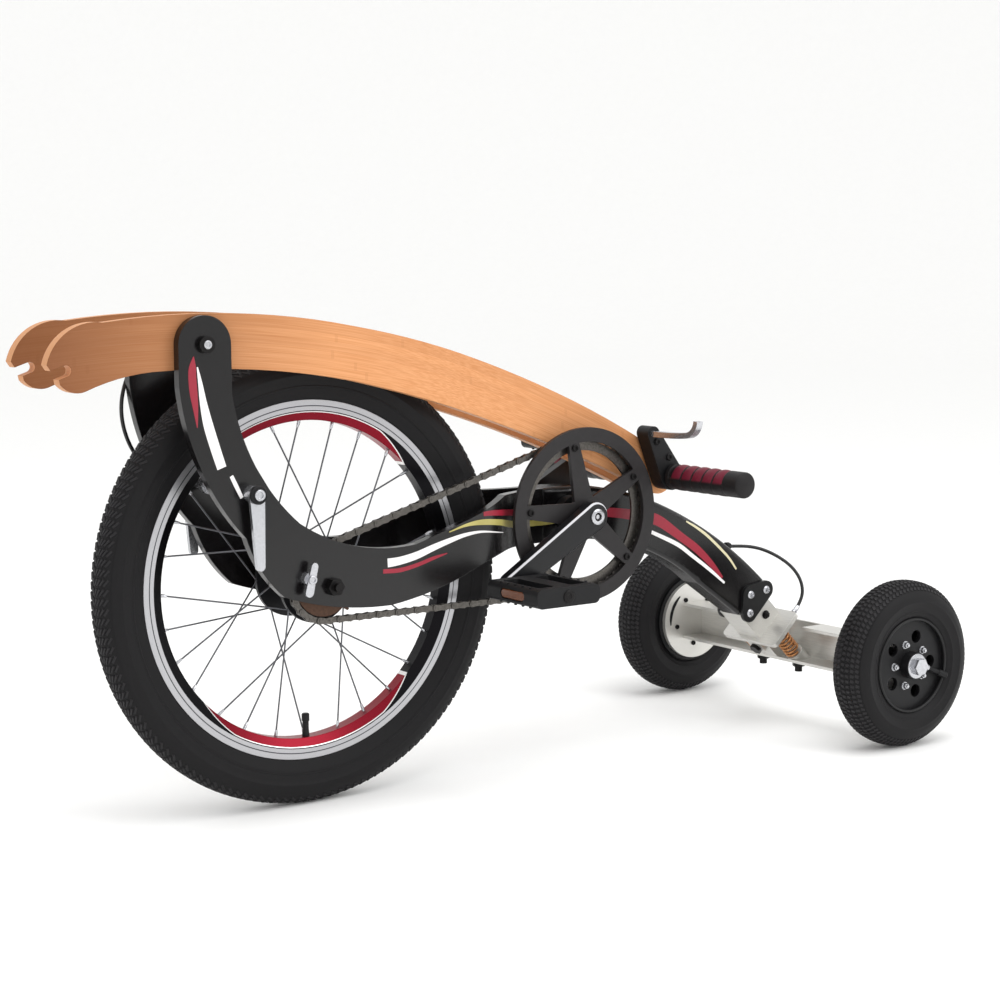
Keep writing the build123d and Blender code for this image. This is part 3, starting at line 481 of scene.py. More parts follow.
def turn_to(direction: Sequence[float], spin: float = 0.0) -> tuple[float, float, float]:
    """Euler angles that point a shape's +Z along a direction.

    Args:
        direction: Where +Z goes.
        spin: A first turn about Z, in degrees.

    Returns:
        The three angles.
    """
    aim = Vector(direction).to_track_quat("Z", "Y").to_matrix()
    return tuple((aim @ Matrix.Rotation(math.radians(spin), 3, "Z")).to_euler())


def seat(
    piece: bpy.types.Object, body: Body, slot: str, finish: Finish | None = None, *nodes: str
) -> None:
    """Give a piece its finish and body, and hide the solids that it stands for.

    Args:
        piece: The finished piece.
        body: The body that it rides on.
        slot: The record's material slot; not used.
        finish: The finish, where the mesh has none yet.
        *nodes: The solids that it replaces.
    """
    if finish is not None:
        piece.data.materials.clear()
        piece.data.materials.append(finish.material())
    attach(piece, body.value)
    if nodes:
        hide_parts(*nodes)
    LOG.info("%s, a %s, rides on the %s", piece.name, piece.type.lower(), body.value)


# Finishes


@dataclass(frozen=True)
class Finish:
    """A surface with two close tones in a fine grain, and a bump and gloss that follow it."""

    name: str
    base: str
    second: str
    roughness: float
    metallic: float = 0.0
    coat: float = 0.0
    grain_mm: float = 2.0
    bump_mm: float = 0.02
    stretch: Place = (1.0, 1.0, 1.0)
    gloss_change: float = 0.08
    edge_mm: float = 0.8
    specular: float = 0.5
    coat_roughness: float = 0.12
    least_roughness: float = 0.02

    def material(self) -> bpy.types.Material:
        """Build the node material the first time, and hand it out after that.

        Returns:
            The material.
        """
        found = bpy.data.materials.get(self.name)
        if found:
            return found
        material = bpy.data.materials.new(self.name)
        material.use_nodes = True
        tree = material.node_tree
        tree.nodes.clear()
        shader = add_node(
            tree,
            "ShaderNodeBsdfPrincipled",
            {
                "Metallic": self.metallic,
                "Coat Weight": self.coat,
                "Coat Roughness": self.coat_roughness,
                "Specular IOR Level": self.specular,
            },
        )
        add_node(tree, "ShaderNodeOutputMaterial", {"Surface": shader.outputs[0]})
        self.paint(tree, shader)
        return material

    def grain(self, tree: bpy.types.NodeTree) -> bpy.types.NodeSocket:
        """Fine noise at the finish's own scale.

        Args:
            tree: The material's tree.

        Returns:
            The noise's socket, from zero to one.
        """
        place = add_node(tree, "ShaderNodeTexCoord").outputs["Object"]
        laid = add_node(tree, "ShaderNodeMapping", {"Vector": place, "Scale": self.stretch})
        inputs = {"Vector": laid, "Scale": 1 / (self.grain_mm * MM), "Detail": 4.0}
        return add_node(tree, "ShaderNodeTexNoise", inputs).outputs[0]

    def colour(
        self, tree: bpy.types.NodeTree, grain: bpy.types.NodeSocket
    ) -> bpy.types.NodeSocket:
        """The colour's socket, here the two tones mixed by the grain."""
        tones = {MIX: grain, TONE_A: linear(self.base), TONE_B: linear(self.second)}
        return add_node(tree, "ShaderNodeMix", tones, data_type="RGBA").outputs[MIXED]

    def paint(self, tree: bpy.types.NodeTree, shader: bpy.types.Node) -> None:
        """Link colour, roughness, bump and softened edges to the shader.

        Args:
            tree: The material's tree.
            shader: The shader that takes the links.
        """
        grain = self.grain(tree)
        tree.links.new(self.colour(tree, grain), shader.inputs["Base Color"])
        low, high = self.roughness - self.gloss_change, self.roughness + self.gloss_change
        limits = {"Value": grain, "To Min": max(low, self.least_roughness), "To Max": high}
        gloss = add_node(tree, "ShaderNodeMapRange", limits)
        tree.links.new(gloss.outputs[0], shader.inputs["Roughness"])
        relief = {"Height": grain, "Distance": self.bump_mm * MM, "Strength": 1.0}
        bump = add_node(tree, "ShaderNodeBump", relief)
        if self.edge_mm:
            soft = add_node(tree, "ShaderNodeBevel", {"Radius": self.edge_mm * MM}, samples=4)
            tree.links.new(soft.outputs[0], bump.inputs["Normal"])
        tree.links.new(bump.outputs[0], shader.inputs["Normal"])


@dataclass(frozen=True)
class RimFinish(Finish):
    """Alloy rim: machined brake tracks outside, a black band with red blades inside."""

    band: str = "#131215"
    blade: str = "#7E1424"
    line: str = "#E4E2E1"
    groove: str = "#4A4A4E"
    axle_height: float = AXLE_HEIGHT
    band_edge: float = 190.2
    groove_radius: float = 195.2
    groove_half: float = 0.6
    blade_share: Flat = (0.66, 0.86)
    blade_rise: Flat = (177.0, 188.0)
    line_half: float = 0.55

    def colour(
        self, tree: bpy.types.NodeTree, grain: bpy.types.NodeSocket
    ) -> bpy.types.NodeSocket:
        """Colour by the distance and the direction from the axle.

        Args:
            tree: The material's tree.
            grain: The noise's socket.

        Returns:
            The colour's socket.
        """
        place = add_node(tree, "ShaderNodeTexCoord").outputs["Object"]
        centre = (0.0, 0.0, self.axle_height * MM)
        arm = add_node(tree, "ShaderNodeVectorMath", {0: place, 1: centre}, operation="SUBTRACT")
        flat = add_node(tree, "ShaderNodeVectorMath", {0: arm, 1: (1, 0, 1)}, operation="MULTIPLY")
        radius = add_node(tree, "ShaderNodeVectorMath", {0: flat}, operation="LENGTH")
        height = add_node(tree, "ShaderNodeSeparateXYZ", {0: flat}).outputs[2]
        upward = add_node(tree, "ShaderNodeMath", {0: height, 1: radius}, operation="DIVIDE")
        share = add_node(tree, "ShaderNodeMath", {0: upward}, operation="ABSOLUTE")
        climb = {
            "Value": share,
            "From Min": self.blade_share[0],
            "From Max": self.blade_share[1],
            "To Min": self.blade_rise[0] * MM,
            "To Max": self.blade_rise[1] * MM,
        }
        top = add_node(tree, "ShaderNodeMapRange", climb)
        inside = add_node(tree, "ShaderNodeMath", {0: radius, 1: top}, operation="LESS_THAN")
        tones = {MIX: inside, TONE_A: linear(self.band), TONE_B: linear(self.blade)}
        bladed = add_node(tree, "ShaderNodeMix", tones, data_type="RGBA")
        past = add_node(tree, "ShaderNodeMath", {0: radius, 1: top}, operation="SUBTRACT")
        half = self.line_half * MM
        edge = add_node(tree, "ShaderNodeMath", {0: past, 1: half, 2: half}, operation="COMPARE")
        tones = {MIX: edge, TONE_A: bladed, TONE_B: linear(self.line)}
        lined = add_node(tree, "ShaderNodeMix", tones, data_type="RGBA")
        ring = {0: radius, 1: self.groove_radius * MM, 2: self.groove_half * MM}
        cut = add_node(tree, "ShaderNodeMath", ring, operation="COMPARE")
        tones = {MIX: cut, TONE_A: super().colour(tree, grain), TONE_B: linear(self.groove)}
        track = add_node(tree, "ShaderNodeMix", tones, data_type="RGBA")
        limit = {0: radius, 1: self.band_edge * MM}
        outside = add_node(tree, "ShaderNodeMath", limit, operation="GREATER_THAN")
        tones = {MIX: outside, TONE_A: lined, TONE_B: track}
        return add_node(tree, "ShaderNodeMix", tones, data_type="RGBA").outputs[MIXED]


@dataclass(frozen=True)
class BambooFinish(Finish):
    """Laminated bamboo: strips side by side, each with its own tone, fibre streaks and knots, with
    painted shade towards the tip and a painted highlight on the edges.
    """

    light: str = "#DDA070"
    dark: str = "#6E4026"
    strip_mm: float = 9.0
    strip_share: float = 0.22
    fibre_mm: float = 1.1
    fibre_stretch: float = 0.012
    knot_gap_mm: float = 330.0
    knot_half_share: float = 0.006
    seam_share: float = 0.045
    mark_depth: float = 0.16
    crest_mm: Flat = (-100.0, 523.0)
    slope: float = -0.068
    bow_per_mm: float = -0.000403
    tip_mm: Flat = (-215.0, 115.0)
    tip_share: float = 0.85
    edge_slant: float = 0.5
    edge_share: float = 0.7

    def bowed(
        self, tree: bpy.types.NodeTree
    ) -> tuple[bpy.types.Node, bpy.types.NodeSocket, bpy.types.Node]:
        """Measure places by the planks' bowed crest.

        Args:
            tree: The material's tree.

        Returns:
            Sources of the distance along the crest, across it and above it.
        """
        place = add_node(tree, "ShaderNodeTexCoord").outputs["Object"]
        parts = add_node(tree, "ShaderNodeSeparateXYZ", {0: place})
        offset = {0: parts.outputs[0], 1: self.crest_mm[0] * MM}
        along = add_node(tree, "ShaderNodeMath", offset, operation="SUBTRACT")
        lean = {0: along, 1: self.bow_per_mm / MM, 2: self.slope}
        steep = add_node(tree, "ShaderNodeMath", lean, operation="MULTIPLY_ADD")
        drop = {0: along, 1: steep, 2: self.crest_mm[1] * MM}
        crest = add_node(tree, "ShaderNodeMath", drop, operation="MULTIPLY_ADD")
        rise = {0: parts.outputs[2], 1: crest}
        height = add_node(tree, "ShaderNodeMath", rise, operation="SUBTRACT")
        return along, parts.outputs[1], height

    def marks(
        self,
        tree: bpy.types.NodeTree,
        along: bpy.types.Node,
        rows: bpy.types.Node,
        tone: bpy.types.NodeSocket,
    ) -> bpy.types.Node:
        """Mark the strips' knots and the seams between them.

        Args:
            tree: The material's tree.
            along: The distance along the crest.
            rows: The height above the crest, counted in strips.
            tone: Each strip's chance value, which shifts its knots.

        Returns:
            The node that gives the marks' depth.
        """
        shift = {0: along, 1: 1 / (self.knot_gap_mm * MM), 2: tone}
        step = add_node(tree, "ShaderNodeMath", shift, operation="MULTIPLY_ADD")
        part = add_node(tree, "ShaderNodeMath", {0: step}, operation="FRACT")
        middle = {0: part, 1: 0.5, 2: self.knot_half_share}
        knot = add_node(tree, "ShaderNodeMath", middle, operation="COMPARE")
        within = add_node(tree, "ShaderNodeMath", {0: rows}, operation="FRACT")
        edge = {0: within, 1: self.seam_share}
        seam = add_node(tree, "ShaderNodeMath", edge, operation="LESS_THAN")
        either = add_node(tree, "ShaderNodeMath", {0: knot, 1: seam}, operation="MAXIMUM")
        return add_node(tree, "ShaderNodeMapRange", {"Value": either, "To Max": self.mark_depth})

    def colour(
        self, tree: bpy.types.NodeTree, grain: bpy.types.NodeSocket
    ) -> bpy.types.NodeSocket:
        """Strips and streaks that follow the bow, with painted shade darkening them towards the tip
        and a painted highlight lightening the edges.

        Args:
            tree: The material's tree.
            grain: The noise's socket, which the streaks take the place of here.

        Returns:
            The colour's socket.
        """
        along, across, height = self.bowed(tree)
        laid = add_node(tree, "ShaderNodeCombineXYZ", {0: along, 1: across, 2: height})
        pull = {"Vector": laid, "Scale": (self.fibre_stretch, 1.0, 1.0)}
        drawn = add_node(tree, "ShaderNodeMapping", pull)
        fibres = {"Vector": drawn, "Scale": 1 / (self.fibre_mm * MM), "Detail": 3.0}
        streaks = add_node(tree, "ShaderNodeTexNoise", fibres).outputs[0]
        contrast = {"Value": streaks, "From Min": 0.3, "From Max": 0.7}
        spread = add_node(tree, "ShaderNodeMapRange", contrast)
        tones = {MIX: spread, TONE_A: linear(self.base), TONE_B: linear(self.light)}
        body = add_node(tree, "ShaderNodeMix", tones, data_type="RGBA")
        pitch = {0: height, 1: self.strip_mm * MM}
        rows = add_node(tree, "ShaderNodeMath", pitch, operation="DIVIDE")
        strip = add_node(tree, "ShaderNodeMath", {0: rows}, operation="FLOOR")
        chance = add_node(tree, "ShaderNodeTexWhiteNoise", {"W": strip}, noise_dimensions="1D")
        tone = chance.outputs["Value"]
        share = {"Value": tone, "To Max": self.strip_share}
        amount = add_node(tree, "ShaderNodeMapRange", share)
        tones = {MIX: amount, TONE_A: body, TONE_B: linear(self.second)}
        toned = add_node(tree, "ShaderNodeMix", tones, data_type="RGBA")
        marks = self.marks(tree, along, rows, tone)
        tones = {MIX: marks, TONE_A: toned, TONE_B: linear(self.second)}
        marked = add_node(tree, "ShaderNodeMix", tones, data_type="RGBA")
        # Painted shade: the colour darkens towards the planks' tip, standing in for shadow.
        fade = {
            "Value": along,
            "From Min": self.tip_mm[0] * MM,
            "From Max": self.tip_mm[1] * MM,
            "To Min": self.tip_share,
            "To Max": 0.0,
        }
        tip_shade_share = add_node(tree, "ShaderNodeMapRange", fade)
        tones = {MIX: tip_shade_share, TONE_A: marked, TONE_B: linear(self.dark)}
        tip_shaded = add_node(tree, "ShaderNodeMix", tones, data_type="RGBA")
        # Painted highlight: faces that do not face sideways, the planks' edges, are lightened as if
        # they caught the light.
        normal = add_node(tree, "ShaderNodeNewGeometry").outputs["True Normal"]
        facing = add_node(tree, "ShaderNodeSeparateXYZ", {0: normal}).outputs[1]
        broad = add_node(tree, "ShaderNodeMath", {0: facing}, operation="ABSOLUTE")
        slant = {0: broad, 1: self.edge_slant}
        rim = add_node(tree, "ShaderNodeMath", slant, operation="LESS_THAN")
        edge_highlight = add_node(tree, "ShaderNodeMapRange", {"Value": rim, "To Max": self.edge_share})
        tones = {MIX: edge_highlight, TONE_A: tip_shaded, TONE_B: linear(self.light)}
        return add_node(tree, "ShaderNodeMix", tones, data_type="RGBA").outputs[MIXED]


@dataclass(frozen=True)
class GripFinish(Finish):
    """Two-colour soft rubber: black body, red pads where the mesh says so."""

    pad: str = "#651428"

    def colour(
        self, tree: bpy.types.NodeTree, grain: bpy.types.NodeSocket
    ) -> bpy.types.NodeSocket:
        """Red on the pads, black elsewhere.

        Args:
            tree: The material's tree.
            grain: The noise's socket.

        Returns:
            The colour's socket.
        """
        pads = add_node(tree, "ShaderNodeAttribute", attribute_name="pad").outputs["Fac"]
        tones = {MIX: pads, TONE_A: super().colour(tree, grain), TONE_B: linear(self.pad)}
        return add_node(tree, "ShaderNodeMix", tones, data_type="RGBA").outputs[MIXED]


@dataclass(frozen=True)
class PolishedEdgeFinish(Finish):
    """Black forging with a bright cut on its bevels, drawn only on the upper ones: partly a
    polished cut, partly a painted highlight from light above.
    """

    polish: str = "#C9C9CD"
    slant_middle: float = 0.65
    slant_half: float = 0.25
    least_rise: float = 0.25

    def colour(
        self, tree: bpy.types.NodeTree, grain: bpy.types.NodeSocket
    ) -> bpy.types.NodeSocket:
        """Bright where a face slants between side and top and faces upwards, a cut edge kept to the
        upper side as a painted highlight; black elsewhere.

        Args:
            tree: The material's tree.
            grain: The noise's socket.

        Returns:
            The colour's socket.
        """
        normal = add_node(tree, "ShaderNodeNewGeometry").outputs["True Normal"]
        parts = add_node(tree, "ShaderNodeSeparateXYZ", {0: normal})
        slant = add_node(tree, "ShaderNodeMath", {0: parts.outputs[1]}, operation="ABSOLUTE")
        limits = {0: slant, 1: self.slant_middle, 2: self.slant_half}
        aslant = add_node(tree, "ShaderNodeMath", limits, operation="COMPARE")
        # Painted highlight: only bevels that face upwards get the bright cut.
        rise = {0: parts.outputs[2], 1: self.least_rise}
        upper = add_node(tree, "ShaderNodeMath", rise, operation="GREATER_THAN")
        bright = add_node(tree, "ShaderNodeMath", {0: aslant, 1: upper}, operation="MULTIPLY")
        tones = {MIX: bright, TONE_A: super().colour(tree, grain), TONE_B: linear(self.polish)}
        return add_node(tree, "ShaderNodeMix", tones, data_type="RGBA").outputs[MIXED]


# Grit, moulding grain, brush lines and fibres are too fine to show at their real size, so their
# sizes in millimetres are drawn coarser here

# Moulded tyre rubber: matt, close to black, with a dusty bloom that shows as a faint mottle.
TYRE_RUBBER = Finish(
    "moulded tyre rubber", "#0B0A0B", "#161517", 0.55, grain_mm=3.0, bump_mm=0.05, edge_mm=0.0,
    specular=0.2,
)
# Tread blocks: the same rubber painted greyer, a painted highlight that sets the blocks off from
# the casing.
TREAD_RUBBER = Finish(
    "road-worn tread rubber", "#191819", "#29282A", 0.6, grain_mm=2.0, bump_mm=0.04, edge_mm=0.0,
    specular=0.25,
)
# Machined alloy: turned brake tracks with a wear groove, beside black paint with printed blades.
RIM_ALLOY = RimFinish(
    "machined alloy rim", "#9C9C9F", "#C6C6C9", 0.3, metallic=0.8, grain_mm=0.8, bump_mm=0.01,
    specular=0.35,
)
# Black anodised alloy: satin, slightly blue where it catches light.
BLACK_ALLOY = Finish(
    "black anodised alloy", "#0E0E10", "#161619", 0.36, metallic=0.2, grain_mm=0.6, specular=0.3
)
# Black forged crank: satin, with a bright cut along the upper bevels, which is partly a painted
# highlight since only upward bevels get it.
CRANK_FORGING_HIGHLIGHT = PolishedEdgeFinish(
    "cut black forging", "#0B0B0D", "#131316", 0.3, grain_mm=0.6, specular=0.35
)
# Stainless spoke wire: grey, lighter and darker by turns along its length.
SPOKE_WIRE = Finish(
    "drawn stainless wire", "#47484C", "#75767B", 0.34, metallic=0.9, grain_mm=1.5, edge_mm=0.0
)
# Gloss black enamel: deep, with soft reflections and a faint orange peel.
FRAME_ENAMEL = Finish(
    "gloss black enamel", "#0A090A", "#110F10", 0.22, coat=0.05, grain_mm=4.0, bump_mm=0.012,
    gloss_change=0.05, edge_mm=1.4, specular=0.4,
)
# Satin black paint on steel plate: flatter than the frame, with fine grit.
SATIN_BLACK = Finish("satin black paint", "#0D0D0E", "#151516", 0.42, grain_mm=0.7, specular=0.3)
# Black oxide on steel: dark grey metal with a brown cast in patches.
BLACK_OXIDE = Finish("black oxide steel", "#151517", "#272524", 0.38, metallic=0.8, grain_mm=1.2)
# Bright zinc plate: cool, clear reflections with small cloudy patches.
BRIGHT_ZINC = Finish("bright zinc plate", "#A4A5A9", "#D2D3D7", 0.24, metallic=0.9, grain_mm=2.5)
# Brushed aluminium: pale and a little warm, with fine lines along the beam.
BRUSHED_ALUMINIUM = Finish(
    "brushed aluminium", "#BDBCB9", "#DEDCD6", 0.34, metallic=0.65, grain_mm=1.2, bump_mm=0.01,
    stretch=(1.0, 0.06, 1.0),
)
# Oiled chain steel: dark, with brighter rubbed patches.
CHAIN_STEEL = Finish(
    "oiled chain steel", "#2E2C2A", "#78746F", 0.34, metallic=0.85, grain_mm=2.0, edge_mm=0.0
)
# Browned steel: a brown film over metal, rusty in patches.
BROWNED_STEEL = Finish(
    "browned sprocket steel", "#332218", "#634838", 0.46, metallic=0.6, grain_mm=3.0
)
# Copper-plated spring wire: warm orange metal that darkens in patches.
COPPER_WIRE = Finish(
    "copper plated wire", "#8A4E28", "#D29E6C", 0.28, metallic=0.85, grain_mm=2.0, edge_mm=0.0
)
# Moulded nylon: black, matt, with an even spark-eroded grain.
MOULDED_NYLON = Finish(
    "moulded black nylon", "#0D0D0E", "#161618", 0.48, grain_mm=0.5, bump_mm=0.03, specular=0.25
)
# Glass-filled nylon of the guard: dark grey, with pale flow marks.
GUARD_NYLON = Finish(
    "glass-filled grey nylon", "#181617", "#242122", 0.42, grain_mm=6.0, bump_mm=0.02, specular=0.35
)
# Lacquered bamboo: warm tan strips under a satin lacquer.
BAMBOO = BambooFinish(
    "lacquered laminated bamboo", "#CB8A58", "#A3683C", 0.5, grain_mm=1.5, bump_mm=0.01,
    stretch=(0.05, 1.0, 1.0), edge_mm=1.2, specular=0.2,
)
# Soft grip rubber: matt black with red pads.
GRIP_RUBBER = GripFinish(
    "soft grip rubber", "#0F0D0E", "#191617", 0.5, grain_mm=0.8, bump_mm=0.03, edge_mm=0.0,
    specular=0.25,
)
# Cable sheath: smooth extruded vinyl with a dull shine.
CABLE_SHEATH = Finish("extruded black vinyl", "#0C0C0D", "#161617", 0.34, grain_mm=3.0, edge_mm=0.0)
# Printed vinyl film: flat and clean-edged, the gold one with a slow change from dark to pale.
FILM_WHITE = Finish(
    "white vinyl film", "#F2F0EF", "#E9E7E6", 0.34, coat=0.2, grain_mm=5.0, edge_mm=0.0
)
FILM_RED = Finish("red vinyl film", "#9C1A32", "#8A142A", 0.4, grain_mm=5.0, edge_mm=0.0)
FILM_GOLD = Finish(
    "gold vinyl film", "#8E8230", "#CFC57C", 0.34, coat=0.1, grain_mm=30.0, edge_mm=0.0
)
FILM_CREAM = Finish(
    "cream vinyl film", "#DDD6B4", "#CFC69E", 0.34, coat=0.1, grain_mm=5.0, edge_mm=0.0
)
# Amber reflector plastic: dark brown-orange and glossy, pebbled like its prism back.
AMBER_LENS = Finish(
    "moulded amber lens", "#4A2009", "#6B3812", 0.2, coat=0.2, grain_mm=2.2, bump_mm=0.3
)
# Backdrop paper: an even white without any shine.
BACKDROP_PAPER = Finish(
    "white backdrop paper", "#FDFDFC", "#FAFAF9", 0.9, grain_mm=40.0, bump_mm=0.0, edge_mm=0.0
)

SLOT_FINISH = {
    "tyre_rubber": TYRE_RUBBER,
    "rim_alloy": RIM_ALLOY,
    "black_alloy": BLACK_ALLOY,
    "spoke_steel": SPOKE_WIRE,
    "frame_paint": FRAME_ENAMEL,
    "black_steel": SATIN_BLACK,
    "dark_steel": BLACK_OXIDE,
    "bright_steel": BRIGHT_ZINC,
    "bright_alloy": BRUSHED_ALUMINIUM,
    "chain_steel": CHAIN_STEEL,
    "sprocket_steel": BROWNED_STEEL,
    "copper_steel": COPPER_WIRE,
    "black_plastic": MOULDED_NYLON,
    "bamboo": BAMBOO,
    "grip_rubber": GRIP_RUBBER,
    "cable_sheath": CABLE_SHEATH,
}
NODE_FINISH = {
    "crank_near": CRANK_FORGING_HIGHLIGHT,
    "crank_far": CRANK_FORGING_HIGHLIGHT,
    "chain_guard": GUARD_NYLON,
    "brake_lever": BRIGHT_ZINC,
}


# Shapes of small hardware, made in place and copied by the trees


def cap_screw(radius: float, height: float) -> bpy.types.Object:
    """A round-headed screw with a round socket, standing on the XY plane.

    Args:
        radius: The head's radius in millimetres.
        height: The head's height in millimetres.

    Returns:
        The screw.
    """
    bevel_start, bevel_end = height * 0.75, radius * 0.88
    recess, recess_floor = radius * 0.55, height * 0.45
    profile = [
        (0.0, 0.0), (radius, 0.0), (radius, bevel_start), (bevel_end, height), (recess, height),
        (recess * 0.95, recess_floor), (0.0, recess_floor),
    ]
    return mesh_object("screw", *turned(profile, steps=18))


def cross_screw(radius: float, height: float) -> bpy.types.Object:
    """A domed screw with a sunk cross, standing on the XY plane.

    Args:
        radius: The head's radius in millimetres.
        height: The head's height in millimetres.

    Returns:
        The screw.
    """
    steps, quarter, recess, cross_end, cross_root = 32, 8, height * 0.45, 0.6, 0.3
    # Each ring's share of the radius and of the height, from the pole to the rim
    rings = [
        (0.0, 1.0), (0.22, 0.98), (0.42, 0.93), (0.58, 0.86), (0.64, 0.83), (0.85, 0.6), (1.0, 0.3)
    ]
    points: list[Place] = []
    faces: Faces = []
    for share, level in [*rings, (1.0, 0.0), (0.0, 0.0)]:
        for step in range(steps):
            turn = 2 * math.pi * step / steps
            spread = quarter // 2 if share == 0 else 2 if share < cross_root else 1
            from_arm = min(step % quarter, quarter - step % quarter)
            on_cross = share < cross_end and from_arm <= spread
            sunk = recess if level and on_cross else 0.0
            reach = share * radius
            points.append((reach * math.cos(turn), reach * math.sin(turn), level * height - sunk))
    for ring in range(len(rings) + 1):
        for step in range(steps):
            after = (step + 1) % steps
            low, high = ring * steps, (ring + 1) * steps
            faces.append((low + step, high + step, high + after, low + after))
    return mesh_object("screw", points, faces)


def hex_nut(radius: float, height: float, bore: float) -> bpy.types.Object:
    """A hexagon nut with a washer and the end of its bolt, standing on the XY plane.

    Args:
        radius: The nut's radius over its corners in millimetres.
        height: The height of washer and nut in millimetres.
        bore: The bolt's radius in millimetres.

    Returns:
        The nut.
    """
    base, wide, bevel, end = height * 0.18, radius * 1.25, 0.86, height * 1.35
    washer = [(0.0, 0.0), (wide, 0.0), (wide, base), (0.0, base)]
    nut = [
        (0.0, base), (radius, base), (radius, height * bevel), (radius * bevel, height),
        (0.0, height),
    ]
    tip = [(0.0, height), (bore, height), (bore * 0.85, end), (0.0, end)]
    return mesh_object("nut", *stacked([(washer, 20), (nut, 6), (tip, 14)]))


def tread_block(length: float, width: float, depth: float) -> bpy.types.Object:
    """A tread block with drafted sides, standing on the XY plane.

    Args:
        length: The foot's length along X in millimetres.
        width: The foot's width along Y in millimetres.
        depth: The block's height in millimetres.

    Returns:
        The block.
    """
    draft = depth * 0.35
    points = [
        (x * (length / 2 - inset), y * (width / 2 - inset), height)
        for inset, height in ((0.0, 0.0), (draft, depth))
        for x, y in ((-1, -1), (1, -1), (1, 1), (-1, 1))
    ]
    faces = [(3, 2, 1, 0), (4, 5, 6, 7), (0, 1, 5, 4), (1, 2, 6, 5), (2, 3, 7, 6), (3, 0, 4, 7)]
    return mesh_object("block", points, faces)


# Sub-assemblies


@dataclass(frozen=True)
class TyreSection:
    """Half a tyre's section: side distance and radius, from the crown's middle to the bead."""

    points: tuple[Flat, ...]
    tread_half: float
    tread_depth: float
    edge_step: float = 0.3

    def surface(self, offset: float) -> Flat:
        """Radius and lean of the surface at a distance from the middle plane.

        Args:
            offset: Signed distance in millimetres.

        Returns:
            The radius in millimetres and the lean in radians, signed as the offset.
        """
        place = abs(offset)
        for (y, r), (next_y, next_r) in zip(self.points, self.points[1:]):
            if place <= next_y:
                share = (place - y) / (next_y - y)
                lean = math.atan2(r - next_r, next_y - y)
                return r + (next_r - r) * share, math.copysign(lean, offset)
        return self.points[-1][1], 0.0

    def outline(self) -> list[Flat]:
        """The casing's closed section, sunk under the tread.

        Returns:
            Radius and side distance of each point in millimetres.
        """
        half = []
        for y, r in self.points:
            if y < self.tread_half:
                half.append((r - self.tread_depth, y))
            else:
                if half and half[-1][1] < self.tread_half:
                    edge = self.surface(self.tread_half)[0]
                    half.append((edge - self.tread_depth, self.tread_half - self.edge_step))
                    half.append((edge, self.tread_half))
                half.append((r, y))
        return [(r, -y) for r, y in reversed(half[1:])] + half


@dataclass
class Tyre:
    """A tyre's casing, and tread blocks in rows that each have an offset and a slant."""

    name: str
    body: Body
    centre: Place
    section: TyreSection
    rows: tuple[Flat, ...]
    row_blocks: int
    block_length: float
    block_width: float
    steps: int
    root: float = 0.3

    def build(self) -> None:
        """Make and seat the casing and the tread."""
        points, faces = turned(self.section.outline(), self.steps, closed=True)
        casing = mesh_object(f"{self.name}_casing", moved(points, across_axis(*self.centre)), faces)
        seat(casing, self.body, "tyre_rubber", TYRE_RUBBER, self.name)
        depth = self.section.tread_depth + self.root
        block = tread_block(self.block_length, self.block_width, depth)
        places = []
        for row, (offset, slant) in enumerate(self.rows):
            radius, lean = self.section.surface(offset)
            for k in range(self.row_blocks):
                turn = 2 * math.pi * (k + 0.5 * (row % 2)) / self.row_blocks
                out = Vector((math.cos(turn), 0, math.sin(turn)))
                along = Vector((-math.sin(turn), 0, math.cos(turn)))
                normal = out * math.cos(lean) + Vector((0, math.sin(lean), 0))
                basis = Matrix((along, normal.cross(along), normal)).transposed()
                spun = basis @ Matrix.Rotation(math.radians(slant), 3, "Z")
                foot = Vector(self.centre) + Vector((0, offset, 0)) + out * radius
                places.append((foot - normal * depth, tuple(spun.to_euler())))
        # The tread's greyer rubber is a painted highlight on the blocks.
        tread = copies(f"{self.name}_tread", block, places, TREAD_RUBBER)
        seat(tread, self.body, "tyre_rubber")


